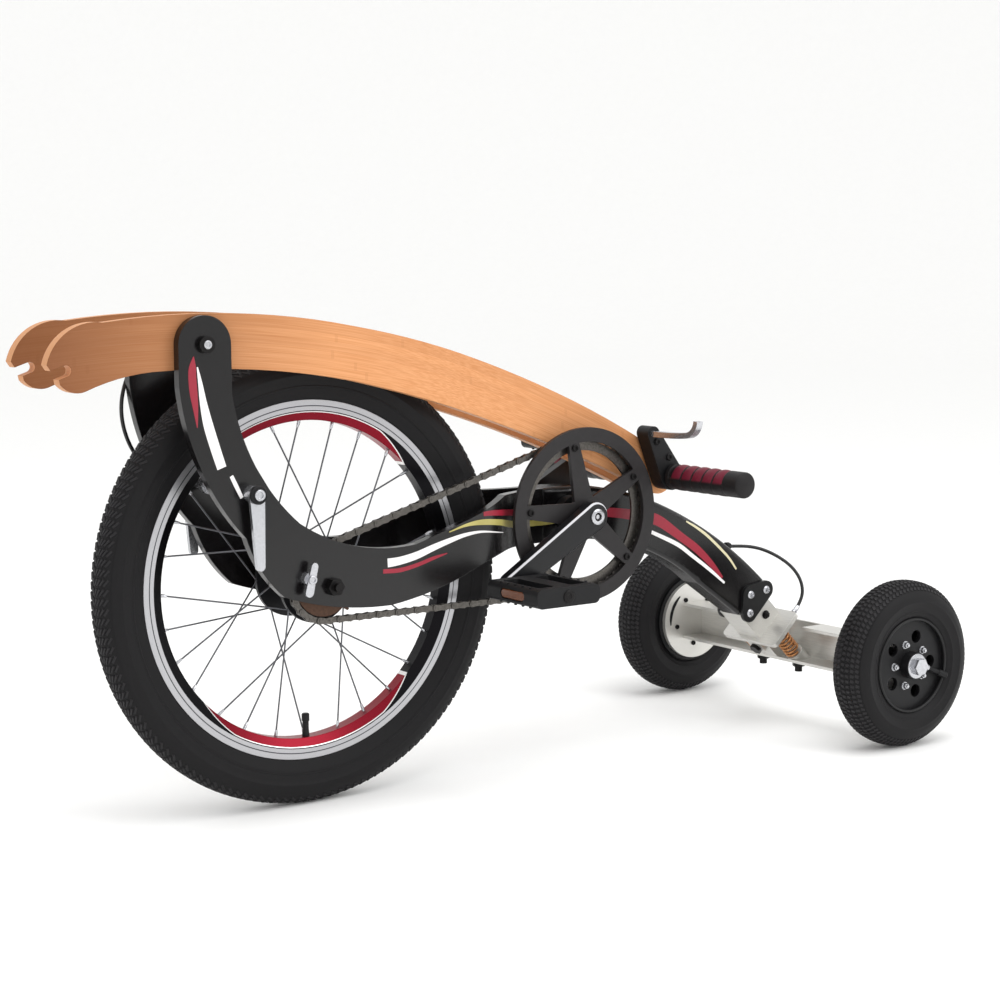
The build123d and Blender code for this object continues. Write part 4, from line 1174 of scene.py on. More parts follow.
@dataclass
class FrontWheel:
    """The spoked front wheel with its tyre, tread, spokes, nipples and valve."""

    axle_height: float = AXLE_HEIGHT
    spoke_count: int = 28
    spoke_radius: float = 0.95
    cross_angle: float = 38.0
    flange_radius: float = 45.0
    flange_centre: float = 28.0
    stagger: float = 1.6
    rim_inner: float = 179.0
    rim_offset: float = 2.0
    hub_sink: float = 1.0
    rim_sink: float = 2.0
    nipple_length: float = 11.0
    valve_length: float = 26.0
    middle_row: Flat = (0.0, 14.0)
    side_rows: tuple[Flat, ...] = ((4.3, 24.0), (8.5, 30.0), (12.5, 34.0), (16.3, 36.0))
    section: TyreSection = TyreSection(
        (
            (0, 253.2), (5, 252.9), (9, 252.0), (12.5, 250.3), (15.5, 247.6), (18.2, 244),
            (20.4, 239.8), (22.0, 234.6), (22.2, 231.4), (22.5, 230.8), (22.5, 229.4),
            (22.1, 228.8), (21.6, 224), (20.3, 218.6), (20.7, 217.8), (20.3, 216.4), (19.5, 215.8),
            (17.6, 211), (15.2, 206.6), (14.9, 205.2), (13.4, 203.4), (11.4, 202.4), (10.8, 200),
            (9.6, 195.6),
        ),
        tread_half=19.4,
        tread_depth=1.3,
    )

    def build(self) -> None:
        """Make and seat all the wheel's pieces."""
        rows = [self.middle_row]
        for offset, slant in self.side_rows:
            rows += [(offset, slant), (-offset, -slant)]
        Tyre(
            "front_tyre", Body.FRONT_WHEEL, (0, 0, self.axle_height), self.section, tuple(rows),
            row_blocks=150, block_length=9.2, block_width=3.1, steps=160,
        ).build()
        self.spokes()
        self.valve()

    def spoke_lines(self) -> list[tuple[Vector, Vector]]:
        """Lay the crossed spokes between the hub's flanges and the rim.

        Returns:
            Start and end of each spoke in millimetres.
        """
        lines = []
        centre = Vector((0, 0, self.axle_height))
        for index in range(self.spoke_count):
            side = 1 if index % 2 else -1
            lean = 1 if (index // 2) % 2 else -1
            rim_turn = 2 * math.pi * index / self.spoke_count
            hub_turn = rim_turn + lean * math.radians(self.cross_angle)
            hub_offset = self.flange_centre + lean * self.stagger
            ends = []
            for turn, reach, offset in (
                (hub_turn, self.flange_radius - self.hub_sink, hub_offset),
                (rim_turn, self.rim_inner + self.rim_sink, self.rim_offset),
            ):
                ends.append(centre + Vector(
                    (reach * math.cos(turn), side * offset, reach * math.sin(turn))
                ))
            lines.append((ends[0], ends[1]))
        return lines

    def spokes(self) -> None:
        """Round spoke wires and a plated nipple on each."""
        lines = self.spoke_lines()
        seed = bpy.data.meshes.new("spoke_wires")
        ends = [point * MM for line in lines for point in line]
        seed.from_pydata(ends, [(2 * k, 2 * k + 1) for k in range(len(lines))], [])
        values = {"Radius": self.spoke_radius * MM, "Sides": 10, "Finish": SPOKE_WIRE.material()}
        wires = grow("spoke_wires", wires_tree(), seed, values)
        seat(wires, Body.FRONT_WHEEL, "spoke_steel", None, "front_spokes")
        length = self.nipple_length
        profile = [(0, 0), (1.2, 0), (1.5, 1.0), (1.9, 4.0), (1.9, length), (0, length)]
        nipple = mesh_object("nipple", *turned(profile, steps=8))
        places = []
        for start, end in lines:
            way = (end - start).normalized()
            places.append((end - way * length, turn_to(way)))
        seat(copies("spoke_nipples", nipple, places, BRIGHT_ZINC), Body.FRONT_WHEEL, "spoke_steel")

    def valve(self) -> None:
        """Black rubber valve with its cap, at the wheel's lowest point."""
        length = self.valve_length
        profile = [
            (0, -2), (4.2, -2), (4.2, 2), (3.6, 8), (3.6, length - 9), (4.4, length - 8.6),
            (4.4, length - 1), (3.4, length), (0, length),
        ]
        points, faces = turned(profile, steps=16)
        placed = moved(points, Matrix.Translation((0, 0, self.axle_height - self.rim_inner)))
        stem = mesh_object("front_valve", placed, faces)
        seat(stem, Body.FRONT_WHEEL, "tyre_rubber", MOULDED_NYLON)


@dataclass
class RearWheel:
    """A small rear wheel with its tyre, tread, rim lip, bolts and valve."""

    side: Side
    wheelbase: float = REAR_AXLE[0]
    radius: float = REAR_AXLE[1]
    track_half: float = 211.0
    rim_radius: float = 60.0
    rim_half_width: float = 21.0
    lip_radius: float = 2.0
    lip_inset: float = 2.2
    disc_face: float = 227.0
    hub_face: float = 240.0
    bolt_circle: float = 27.0
    bolt_count: int = 5
    bolt_nut: NutSize = (4.0, 5.0, 2.2)
    valve_length: float = 40.0
    valve_foot: Place = (20.0, 2.0, -3.0)
    valve_way: Place = (0.90, 0.20, -0.40)
    side_rows: tuple[Flat, ...] = ((3.3, 12.0), (9.9, 20.0), (15.8, 26.0), (20.3, 30.0))
    section: TyreSection = TyreSection(
        (
            (0, 104.2), (5, 104.0), (10, 103.1), (14, 101.5), (18, 98.4), (21.8, 94.2),
            (24.8, 89.4), (26.8, 84), (27.1, 81), (27.4, 80.4), (27.4, 79.2), (27.1, 78.6),
            (26.6, 73.5), (25.4, 69.2), (25.6, 68.4), (25.0, 67.2), (24.4, 66.8), (23.2, 64),
            (21.0, 61.2), (19.8, 60.4),
        ),
        tread_half=22.6,
        tread_depth=1.4,
    )

    @property
    def body(self) -> Body:
        """The wheel's own body."""
        return Body.REAR_WHEEL_NEAR if self.side is Side.NEAR else Body.REAR_WHEEL_FAR

    @property
    def out(self) -> Vector:
        """The direction away from the middle plane."""
        return Vector((0, self.side.value, 0))

    def build(self) -> None:
        """Make and seat all the wheel's pieces."""
        rows = []
        for offset, slant in self.side_rows:
            rows += [(offset, slant), (-offset, -slant)]
        centre = (self.wheelbase, self.side.value * self.track_half, self.radius)
        Tyre(
            f"rear_tyre_{self.side.tag}", self.body, centre, self.section, tuple(rows),
            row_blocks=96, block_length=4.4, block_width=5.6, steps=128,
        ).build()
        self.rim_trim()
        self.bolts()
        self.valve()

    def rim_trim(self) -> None:
        """A rolled lip on the rim's outer edge and a plated washer round the hub."""
        tag = self.side.tag
        edge, steps = self.rim_radius - self.lip_inset, 12
        turns = [2 * math.pi * k / steps for k in range(steps)]
        lip = [(edge + self.lip_radius * math.cos(t), self.lip_radius * math.sin(t)) for t in turns]
        lip_face = self.track_half + self.rim_half_width
        washer = [(8.6, -2.0), (15.5, -2.0), (15.5, 0.2), (14.8, 0.45), (8.6, 0.45)]
        for name, profile, face, finish, slot in (
            (f"rear_rim_lip_{tag}", lip, lip_face, SATIN_BLACK, "black_plastic"),
            (f"rear_hub_washer_{tag}", washer, self.hub_face, BRIGHT_ZINC, "bright_steel"),
        ):
            points, faces = turned(profile, steps=72, closed=True)
            flipped = [(x, y, self.side.value * z) for x, y, z in points]
            place = across_axis(self.wheelbase, self.side.value * face, self.radius)
            seat(mesh_object(name, moved(flipped, place), faces), self.body, slot, finish)

    def bolts(self) -> None:
        """Disc bolts between the round holes."""
        places = []
        for k in range(self.bolt_count):
            turn = 2 * math.pi * (k + 0.5) / self.bolt_count
            reach = Vector((math.cos(turn), 0, math.sin(turn))) * self.bolt_circle
            hub = Vector((self.wheelbase, 0, self.radius)) + self.out * self.disc_face
            places.append((hub + reach, turn_to(self.out)))
        nut = hex_nut(*self.bolt_nut)
        piece = copies(f"rear_disc_bolts_{self.side.tag}", nut, places, BRIGHT_ZINC)
        seat(piece, self.body, "bright_steel")

    def valve(self) -> None:
        """A bent-out valve with a plated collar and a black cap."""
        length, sign = self.valve_length, self.side.value
        way = Vector((self.valve_way[0], self.valve_way[1] * sign, self.valve_way[2])).normalized()
        foot = Vector((
            self.wheelbase + self.valve_foot[0],
            sign * (self.disc_face + self.valve_foot[1]),
            self.radius + self.valve_foot[2],
        ))
        stem = [
            (0, 0), (3.4, 0), (3.0, 5), (3.0, length - 14), (4.2, length - 13), (4.2, length - 1),
            (3.2, length), (0, length),
        ]
        collar = [(0, 7), (3.9, 7), (3.9, 10), (0, 10)]
        for name, profile, finish, slot in (
            ("rear_valve", stem, MOULDED_NYLON, "tyre_rubber"),
            ("rear_valve_collar", collar, BRIGHT_ZINC, "bright_steel"),
        ):
            shape = mesh_object("valve", *turned(profile, steps=16))
            piece = copies(f"{name}_{self.side.tag}", shape, [(foot, turn_to(way))], finish)
            seat(piece, self.body, slot)


@dataclass
class Drive:
    """Chain, guard screws and crank caps."""

    pitch: float = 12.7
    sprocket_teeth: int = 20
    chainring_teeth: int = 46
    axle_height: float = AXLE_HEIGHT
    crank_x: float = CRANK[0]
    crank_z: float = CRANK[1]
    chain_offset: float = 46.0
    guard_face: float = 57.0
    bolt_circle: float = 83.0
    arm_count: int = 5
    crank_angle: float = CRANK_ANGLE
    crank_face: float = 78.0
    guard_screw: ScrewSize = (4.2, 2.6)
    crank_cap: ScrewSize = (9.5, 2.6)
    cap_core: ScrewSize = (5.0, 1.6)
    sample_mm: float = 3.0
    plate_end: float = 4.1
    plate_waist: float = 2.9
    plate_thickness: float = 1.1
    outer_place: float = 2.4
    inner_place: float = 1.2
    roller_radius: float = 3.9
    pin_radius: float = 1.8
    pin_past: float = 0.4

    def build(self) -> None:
        """Make and seat the chain and the screws."""
        self.chain()
        self.screws()

    def chain_line(self) -> tuple[list[Place], int]:
        """Lay the chain's pitch line round both wheels.

        Returns:
            Points of the closed line in millimetres, and the number of links.
        """
        small = self.pitch / (2 * math.sin(math.pi / self.sprocket_teeth))
        large = self.pitch / (2 * math.sin(math.pi / self.chainring_teeth))
        rise = self.crank_z - self.axle_height
        distance = math.hypot(self.crank_x, rise)
        slope = math.atan2(rise, self.crank_x)
        lean = math.asin((large - small) / distance)
        upper = math.pi / 2 + slope + lean
        lower = slope - lean - math.pi / 2
        points = []
        wraps = (
            (0.0, self.axle_height, small, upper, lower + 2 * math.pi),
            (self.crank_x, self.crank_z, large, lower, upper),
        )
        for x, z, radius, first, last in wraps:
            steps = max(8, round((last - first) * radius / self.sample_mm))
            for k in range(steps + 1):
                turn = first + (last - first) * k / steps
                points.append(
                    (x + radius * math.cos(turn), -self.chain_offset, z + radius * math.sin(turn))
                )
        length = 2 * distance * math.cos(lean)
        length += sum((last - first) * radius for _, _, radius, first, last in wraps)
        return points, 2 * round(length / self.pitch / 2)

    def link(self, plate_place: float, roller: bool) -> bpy.types.Object:
        """One link: two waisted plates, and rollers or pins between them.

        Args:
            plate_place: Distance from the chain's middle to each plate's inner face.
            roller: Whether it is an inner link, with rollers.

        Returns:
            The link, along X about the origin.
        """
        points: list[Place] = []
        faces: Faces = []
        outline = []
        for end in (1, -1):
            for degrees in (-72, -36, 0, 36, 72):
                turn = math.radians(degrees + (0 if end > 0 else 180))
                rounding = (self.plate_end * math.cos(turn), self.plate_end * math.sin(turn))
                outline.append((end * self.pitch / 2 + rounding[0], rounding[1]))
            outline.append((0, self.plate_waist * end))
        count = len(outline)
        for side in (1, -1):
            first = len(points)
            for place in (plate_place, plate_place + self.plate_thickness):
                points += [(x, side * place, z) for x, z in outline]
            faces += [tuple(first + k for k in range(count))]
            faces += [tuple(first + count + k for k in range(count))]
            for k in range(count):
                after = (k + 1) % count
                faces.append((first + k, first + after, first + count + after, first + count + k))
        radius, half = self.roller_radius, plate_place
        if not roller:
            radius, half = self.pin_radius, plate_place + self.plate_thickness + self.pin_past
        for x in (self.pitch / 2, -self.pitch / 2):
            rod, sides = turned([(0, -half), (radius, -half), (radius, half), (0, half)], steps=10)
            faces += [tuple(i + len(points) for i in side) for side in sides]
            points += moved(rod, across_axis(x, 0, 0))
        return mesh_object("link", points, faces)

    def chain(self) -> None:
        """The roller chain, links by turns along its line."""
        points, count = self.chain_line()
        seed = bpy.data.meshes.new("chain_links")
        edges = [(k, (k + 1) % len(points)) for k in range(len(points))]
        seed.from_pydata([Vector(p) * MM for p in points], edges, [])
        outer = self.link(self.outer_place, roller=False)
        inner = self.link(self.inner_place, roller=True)
        values = {
            "Links": count,
            "Outer link": outer,
            "Inner link": inner,
            "Finish": CHAIN_STEEL.material(),
        }
        piece = grow("chain_links", links_tree(), seed, values)
        for shape in (outer, inner):
            bpy.data.objects.remove(shape)
        seat(piece, Body.FRAME, "chain_steel", None, "chain")

    def screws(self) -> None:
        """Guard screws on the spider's arms and a cap on each crank."""
        places = []
        for k in range(self.arm_count):
            turn = math.radians(self.crank_angle + 180 / self.arm_count + 360 * k / self.arm_count)
            reach = Vector((math.cos(turn), 0, math.sin(turn))) * self.bolt_circle
            centre = Vector((self.crank_x, -self.guard_face, self.crank_z))
            places.append((centre + reach, turn_to((0, -1, 0))))
        caps = []
        for side in Side:
            foot = (self.crank_x, side.value * self.crank_face, self.crank_z)
            caps.append((foot, turn_to((0, side.value, 0))))
        for name, shape, spots, finish, slot in (
            ("guard_screws", cap_screw(*self.guard_screw), places, BLACK_OXIDE, "dark_steel"),
            ("crank_caps", cap_screw(*self.crank_cap), caps, BRIGHT_ZINC, "bright_steel"),
            ("crank_cap_cores", cap_screw(*self.cap_core), caps, BLACK_OXIDE, "dark_steel"),
        ):
            seat(copies(name, shape, spots, finish), Body.FRAME, slot)


@dataclass
class Pedals:
    """Reflectors, grip studs and dust caps of both pedals."""

    crank: Flat = CRANK
    crank_length: float = 140.0
    crank_angle: float = CRANK_ANGLE
    inner: float = 86.0
    width: float = 96.0
    length: float = 88.0
    height: float = 22.0
    lens_length: float = 44.0
    lens_height: float = 10.2
    lens_depth: float = 1.7
    lens_wall: float = 0.6
    lens_bevel: float = 0.9
    recess: float = 2.0
    bar_inset: float = 5.0
    stud_gap: float = 14.0
    studs_each_way: int = 2

    def centre(self, side: Side) -> Vector:
        """Find a pedal's middle at the end of its crank.

        Args:
            side: The pedal's side.

        Returns:
            The middle in millimetres.
        """
        turn = math.radians(self.crank_angle + (0 if side is Side.NEAR else 180))
        return Vector((
            self.crank[0] + self.crank_length * math.cos(turn),
            side.value * (self.inner + self.width / 2),
            self.crank[1] + self.crank_length * math.sin(turn),
        ))

    def build(self) -> None:
        """Make and seat the lenses, studs and caps."""
        lenses, studs, caps = [], [], []
        for side in Side:
            middle, out = self.centre(side), Vector((0, side.value, 0))
            for way in (1, -1):
                foot = middle + Vector((way * (self.length / 2 - self.recess), 0, 0))
                basis = Matrix(((0, 0, way), (1, 0, 0), (0, way, 0)))
                lenses.append((foot, tuple(basis.to_euler())))
                studs += self.stud_spots(middle, way)
            caps.append((middle + out * self.width / 2, turn_to(out)))
        stud = [(0, -0.5), (1.9, -0.5), (1.5, 0.9), (0, 0.9)]
        cap = [(0, -0.5), (7.6, -0.5), (7.6, 0.8), (6.6, 1.4), (3.0, 1.4), (2.6, 0.7), (0, 0.7)]
        for name, shape, places, finish, slot in (
            ("pedal_lenses", self.lens(), lenses, AMBER_LENS, "black_plastic"),
            ("pedal_studs", mesh_object("stud", *turned(stud, steps=10)), studs, BLACK_OXIDE,
             "dark_steel"),
            ("pedal_caps", mesh_object("cap", *turned(cap, steps=24)), caps, BLACK_OXIDE,
             "dark_steel"),
        ):
            seat(copies(name, shape, places, finish), Body.FRAME, slot)

    def stud_spots(self, middle: Vector, way: int) -> list[Spot]:
        """Place the studs on one tread of a pedal.

        Args:
            middle: The pedal's middle in millimetres.
            way: One for the upper tread and minus one for the lower one.

        Returns:
            Place in millimetres and Euler angles of each stud.
        """
        spots = []
        reach, rise = self.length / 2 - self.bar_inset, way * self.height / 2
        for k in range(-self.studs_each_way, self.studs_each_way + 1):
            for end in (1, -1):
                spot = middle + Vector((end * reach, k * self.stud_gap, rise))
                spots.append((spot, turn_to((0, 0, way))))
        return spots

    def lens(self) -> bpy.types.Object:
        """A round-ended lens with a bevelled face, lying on the XY plane along X.

        Returns:
            The lens.
        """
        half, arc = self.lens_height / 2, 8
        straight = self.lens_length / 2 - half
        outline = []
        for end in (1, -1):
            for k in range(arc + 1):
                turn = math.pi * (k / arc - 0.5) + (0 if end > 0 else math.pi)
                outline.append((end * straight, turn))
        points: list[Place] = []
        faces: Faces = []
        wall = self.lens_depth * self.lens_wall
        layers = ((half, 0.0), (half, wall), (half - self.lens_bevel, self.lens_depth))
        for radius, height in layers:
            points += [
                (x + radius * math.cos(t), radius * math.sin(t), height) for x, t in outline
            ]
        count = len(outline)
        faces.append(tuple(range(count)))
        faces.append(tuple(2 * count + k for k in range(count)))
        for layer in range(len(layers) - 1):
            for k in range(count):
                after, low, high = (k + 1) % count, layer * count, (layer + 1) * count
                faces.append((low + k, low + after, high + after, high + k))
        return mesh_object("lens", points, faces)


class StripeFilm(Enum):
    """The colours of the printed stripes."""

    WHITE = "white"
    RED = "red"
    GOLD = "gold"
    CREAM = "cream"

    @property
    def finish(self) -> Finish:
        """The film's finish."""
        films = {"white": FILM_WHITE, "red": FILM_RED, "gold": FILM_GOLD, "cream": FILM_CREAM}
        return films[self.value]


@dataclass(frozen=True)
class Stripe:
    """A stripe: its film, and place along X, height and width of its points in millimetres."""

    film: StripeFilm
    line: tuple[Place, ...]


@dataclass
class FrameTrim:
    """Stripes on the arms and spine, and the screws and knobs that show on the frame."""

    film_lift: float = 0.25
    sample_mm: float = 4.0
    across: tuple[float, ...] = (-0.5, -0.17, 0.17, 0.5)
    ray_start: float = 300.0
    screw_spin: float = 25.0
    cheek_face: float = 25.0
    cheek_bolts: tuple[Flat, ...] = ((651.0, 174.0), (678.0, 178.0), (650.0, 150.0))
    cheek_screw: ScrewSize = (5.4, 3.6)
    bracket_face: float = 20.0
    bracket_bolt: Flat = (682.0, 144.0)
    bracket_nut: NutSize = (4.6, 4.0, 2.6)
    pivot: Flat = (-149.5, 522.0)
    pivot_face: float = 71.0
    pivot_cap: ScrewSize = (4.6, 2.0)
    lock: Flat = (-99.3, 362.7)
    lock_face: float = 80.0
    lock_screw: ScrewSize = (6.2, 3.0)
    knob_height: float = 4.2
    lock_nut_face: float = 29.0
    lock_nut: NutSize = (6.8, 4.5, 3.6)
    clamp: Flat = (-33.0, 265.5)
    clamp_face: float = 78.0
    clamp_screw: ScrewSize = (5.0, 2.6)
    stripes: tuple[Stripe, ...] = (
        Stripe(StripeFilm.WHITE, ((-159, 499, 1.4), (-156, 482, 4.8), (-153, 462, 8),
                                  (-148, 439, 11), (-141, 416, 11.4), (-133, 392, 11))),
        Stripe(StripeFilm.WHITE, ((-122, 383, 4.4), (-116, 371, 4.8), (-110, 359, 4))),
        Stripe(StripeFilm.RED, ((-163, 510, 0.9), (-164.5, 499, 8), (-165, 489, 9), (-164, 473, 9),
                                (-162, 456, 6), (-160.5, 436, 0.9))),
        Stripe(StripeFilm.WHITE, ((71, 273, 10), (87, 274, 9), (109, 278, 8.5), (132, 285, 7.4),
                                  (154, 291, 6), (177, 296, 4.2), (203, 297, 2.5),
                                  (244, 291, 0.8))),
        Stripe(StripeFilm.RED, ((65, 264, 4.8), (87, 263.5, 4.9), (109, 267, 4.5), (132, 273, 3.8),
                                (151, 277, 1.1))),
        Stripe(StripeFilm.GOLD, ((154, 301, 1.1), (178, 307, 3.4), (203, 308, 6.4), (236, 304, 7),
                                 (271, 297, 8), (323, 294, 6), (352, 295, 3))),
        Stripe(StripeFilm.RED, ((182, 316, 1.9), (218, 317, 6), (271, 311, 7.5), (312, 307, 7.5))),
        Stripe(StripeFilm.RED, ((330, 304, 6), (380, 303, 9), (434, 297, 12), (480, 288, 14),
                                (502, 281, 13.5), (536, 259, 11), (563, 241, 10.5), (588, 219, 8),
                                (606, 200, 3.5))),
        Stripe(StripeFilm.WHITE, ((488, 269, 4.5), (530, 250, 5.4), (554, 234, 5), (584, 213, 4.4),
                                  (610, 193, 3))),
        Stripe(StripeFilm.CREAM, ((545, 278, 2), (565, 267, 3.4), (585, 253, 3.6), (615, 227, 3.2),
                                  (630, 209, 2.4))),
    )

    def build(self, nodes: dict[str, bpy.types.Object]) -> None:
        """Make and seat the stripes and screws.

        Args:
            nodes: The frame's solids by name.
        """
        for side in Side:
            skin = self.skin([nodes[f"arm_{side.tag}"], nodes["spine"]])
            for film in StripeFilm:
                self.film(side, film, skin)
        self.screws()

    def skin(self, solids: Sequence[bpy.types.Object]) -> BVHTree:
        """Gather some solids' faces for the search of places on them.

        Args:
            solids: The solids.

        Returns:
            A search tree of all their faces.
        """
        points: list[Vector] = []
        faces: Faces = []
        for solid in solids:
            first = len(points)
            points += [v.co.copy() for v in solid.data.vertices]
            faces += [tuple(first + i for i in p.vertices) for p in solid.data.polygons]
        return BVHTree.FromPolygons(points, faces)

    def sampled(self, line: Sequence[Place]) -> list[tuple[Vector, Vector, float]]:
        """Draw a smooth line through a stripe's points.

        Args:
            line: Place along X, height and width of the stripe's points.

        Returns:
            Points along the line, each with its sideways direction and width.
        """
        knots = [Vector(p) for p in line]
        knots = [2 * knots[0] - knots[1], *knots, 2 * knots[-1] - knots[-2]]
        found = []
        for before, start, end, after in zip(knots, knots[1:], knots[2:], knots[3:]):
            steps = max(2, round((end - start).length / self.sample_mm))
            for k in range(steps):
                t = k / steps
                found.append(0.5 * (
                    2 * start + (end - before) * t
                    + (2 * before - 5 * start + 4 * end - after) * t * t
                    + (3 * start - before - 3 * end + after) * t**3
                ))
        found.append(knots[-2])
        result = []
        for k, point in enumerate(found):
            way = found[min(k + 1, len(found) - 1)] - found[max(k - 1, 0)]
            aside = Vector((-way.y, way.x)).normalized()
            result.append((Vector((point.x, point.y)), aside, point.z))
        return result

    def rows(self, stripe: Stripe, side: Side, skin: BVHTree) -> list[list[Vector]]:
        """Lay rows of points across a stripe on the solids' skin.

        Args:
            stripe: The stripe.
            side: The side that it lies on.
            skin: The solids' faces.

        Returns:
            The rows' points in millimetres.
        """
        out = Vector((0, side.value, 0))
        rows = []
        for centre, aside, width in self.sampled(stripe.line):
            row = []
            for share in self.across:
                flat = centre + aside * share * width
                start = Vector((flat.x, 0, flat.y)) * MM + out * self.ray_start * MM
                hit = skin.ray_cast(start, -out)[0]
                if hit is not None:
                    row.append(hit / MM)
            if len(row) == len(self.across):
                rows.append(row)
        return rows

    def film(self, side: Side, film: StripeFilm, skin: BVHTree) -> None:
        """Lay all stripes of one film on one side, as closed thin strips on the solids.

        Args:
            side: The side.
            film: The stripes' film.
            skin: The solids' faces.
        """
        points: list[Vector] = []
        faces: Faces = []
        out, wide = Vector((0, side.value, 0)), len(self.across)
        for stripe in (s for s in self.stripes if s.film is film):
            rows = self.rows(stripe, side, skin)
            first, layer = len(points), len(rows) * wide
            for lift in (self.film_lift, -self.film_lift):
                points += [p + out * lift for row in rows for p in row]
            for r in range(len(rows) - 1):
                for c in range(wide - 1):
                    low = first + r * wide + c
                    quad = (low, low + 1, low + wide + 1, low + wide)
                    faces += [quad, tuple(i + layer for i in reversed(quad))]
                for c in (0, wide - 1):
                    low = first + r * wide + c
                    faces.append((low, low + wide, low + wide + layer, low + layer))
            for r in (0, len(rows) - 1):
                for c in range(wide - 1):
                    low = first + r * wide + c
                    faces.append((low, low + 1, low + 1 + layer, low + layer))
        piece = mesh_object(f"stripes_{film.value}_{side.tag}", points, faces)
        seat(piece, Body.FRAME, "frame_paint", film.finish)

    def both(self, flat: Flat, face: float) -> list[Spot]:
        """Place a screw on each side, facing outwards.

        Args:
            flat: The screw's place along X and its height.
            face: The distance of its seat from the middle plane.

        Returns:
            Place in millimetres and Euler angles on each side.
        """
        return [
            ((flat[0], side.value * face, flat[1]), turn_to((0, side.value, 0), self.screw_spin))
            for side in Side
        ]

    def screws(self) -> None:
        """Cheek plate screws, bright pivot caps that are a painted glint on the dark pivot bolts,
        lever knobs and the dark bolts of the truck bracket.
        """
        cheeks = [place for flat in self.cheek_bolts for place in self.both(flat, self.cheek_face)]
        pivots = self.both(self.pivot, self.pivot_face)
        knobs = self.both(self.lock, self.lock_face)
        knob_tops = self.both(self.lock, self.lock_face + self.knob_height)
        nuts = []
        for side in Side:
            foot = (self.lock[0], side.value * self.lock_nut_face, self.lock[1])
            nuts.append((foot, turn_to((0, -side.value, 0))))
        near_clamp = self.both(self.clamp, self.clamp_face)[:1]
        brackets = self.both(self.bracket_bolt, self.bracket_face)
        profile = [(0, -0.5), (9.6, -0.5), (10.2, 1.0), (10.2, 3.0), (9.0, 4.4), (0, 4.4)]
        knob = mesh_object("knob", *turned(profile, steps=28))
        for name, shape, places, finish, slot in (
            ("cheek_screws", cross_screw(*self.cheek_screw), cheeks, BRIGHT_ZINC, "bright_steel"),
            # The pivot caps' bright zinc is a painted glint on the black pivot bolts.
            ("pivot_caps", cap_screw(*self.pivot_cap), pivots, BRIGHT_ZINC, "bright_steel"),
            ("lock_knobs", knob, knobs, MOULDED_NYLON, "dark_steel"),
            ("lock_screws", cap_screw(*self.lock_screw), knob_tops, BRIGHT_ZINC, "bright_steel"),
            ("lock_nuts", hex_nut(*self.lock_nut), nuts, BRIGHT_ZINC, "bright_steel"),
            ("clamp_screw", cap_screw(*self.clamp_screw), near_clamp, BRIGHT_ZINC, "bright_steel"),
            ("bracket_bolts", hex_nut(*self.bracket_nut), brackets, BLACK_OXIDE, "dark_steel"),
        ):
            seat(copies(name, shape, places, finish), Body.FRAME, slot)


@dataclass(frozen=True)
class CableRoute:
    """A held cable: its name, the solid it stands for and its route in millimetres."""

    name: str
    node: str
    points: tuple[Place, ...]


@dataclass
class Cables:
    """The two held brake cables with their ferrules and the grommet."""

    radius: float = 2.2
    routes: tuple[CableRoute, ...] = (
        CableRoute("rear_cable_sheath", "rear_cable", (
            (618, 0, 237), (652, 0, 235.5), (682, -4, 231), (706, -13, 220), (724, -26, 204),
            (731, -37, 184), (726.8, -42, 162.3), (711.24, -42, 146.78))),
        CableRoute("front_cable_sheath", "front_cable", (
            (-165.5, 67.5, 508), (-176.5, 67.5, 484), (-184, 67.5, 460), (-184, 67.5, 436),
            (-177, 67.5, 412), (-163.5, 67.5, 390), (-146.5, 67.5, 370))),
    )
    ferrule_length: float = 11.0
    grommet: Place = (633.0, 0.0, 236.6)
    grommet_way: Place = (1.0, 0.0, -0.05)

    def build(self) -> None:
        """Make and seat the sheaths, ferrules and the grommet."""
        ends = []
        for route in self.routes:
            self.sheath(route)
            points = [Vector(p) for p in route.points]
            ends.append((points[-1], turn_to(points[-2] - points[-1])))
            if route.node == "front_cable":
                ends.append((points[0], turn_to(points[1] - points[0])))
        wide, length = self.radius + 1.0, self.ferrule_length
        profile = [
            (0, 0), (wide + 0.5, 0), (wide + 0.5, 2.5), (wide, 3), (wide, length - 1),
            (wide - 0.6, length), (0, length),
        ]
        ferrule = mesh_object("ferrule", *turned(profile, steps=16))
        seat(copies("cable_ferrules", ferrule, ends, BRIGHT_ZINC), Body.FRAME, "bright_steel")
        profile = [(0, -4), (5.0, -4), (5.0, 1), (3.6, 4), (0, 4)]
        ring = mesh_object("ring", *turned(profile, steps=18))
        place = [(self.grommet, turn_to(self.grommet_way))]
        seat(copies("cable_grommet", ring, place, MOULDED_NYLON), Body.FRAME, "black_plastic")

    def sheath(self, route: CableRoute) -> None:
        """A smooth sheath with the route's points as its control points.

        Args:
            route: The cable's route.
        """
        curve = bpy.data.curves.new(route.name, "CURVE")
        curve.dimensions = "3D"
        curve.bevel_depth = self.radius * MM
        curve.bevel_resolution = 4
        curve.use_fill_caps = True
        spline = curve.splines.new("NURBS")
        spline.points.add(len(route.points) - 1)
        for point, place in zip(spline.points, route.points):
            point.co = (*(Vector(place) * MM), 1.0)
        spline.order_u = 3
        spline.use_endpoint_u = True
        spline.resolution_u = 10
        piece = link_object(route.name, curve)
        seat(piece, Body.FRAME, "cable_sheath", CABLE_SHEATH, route.node)


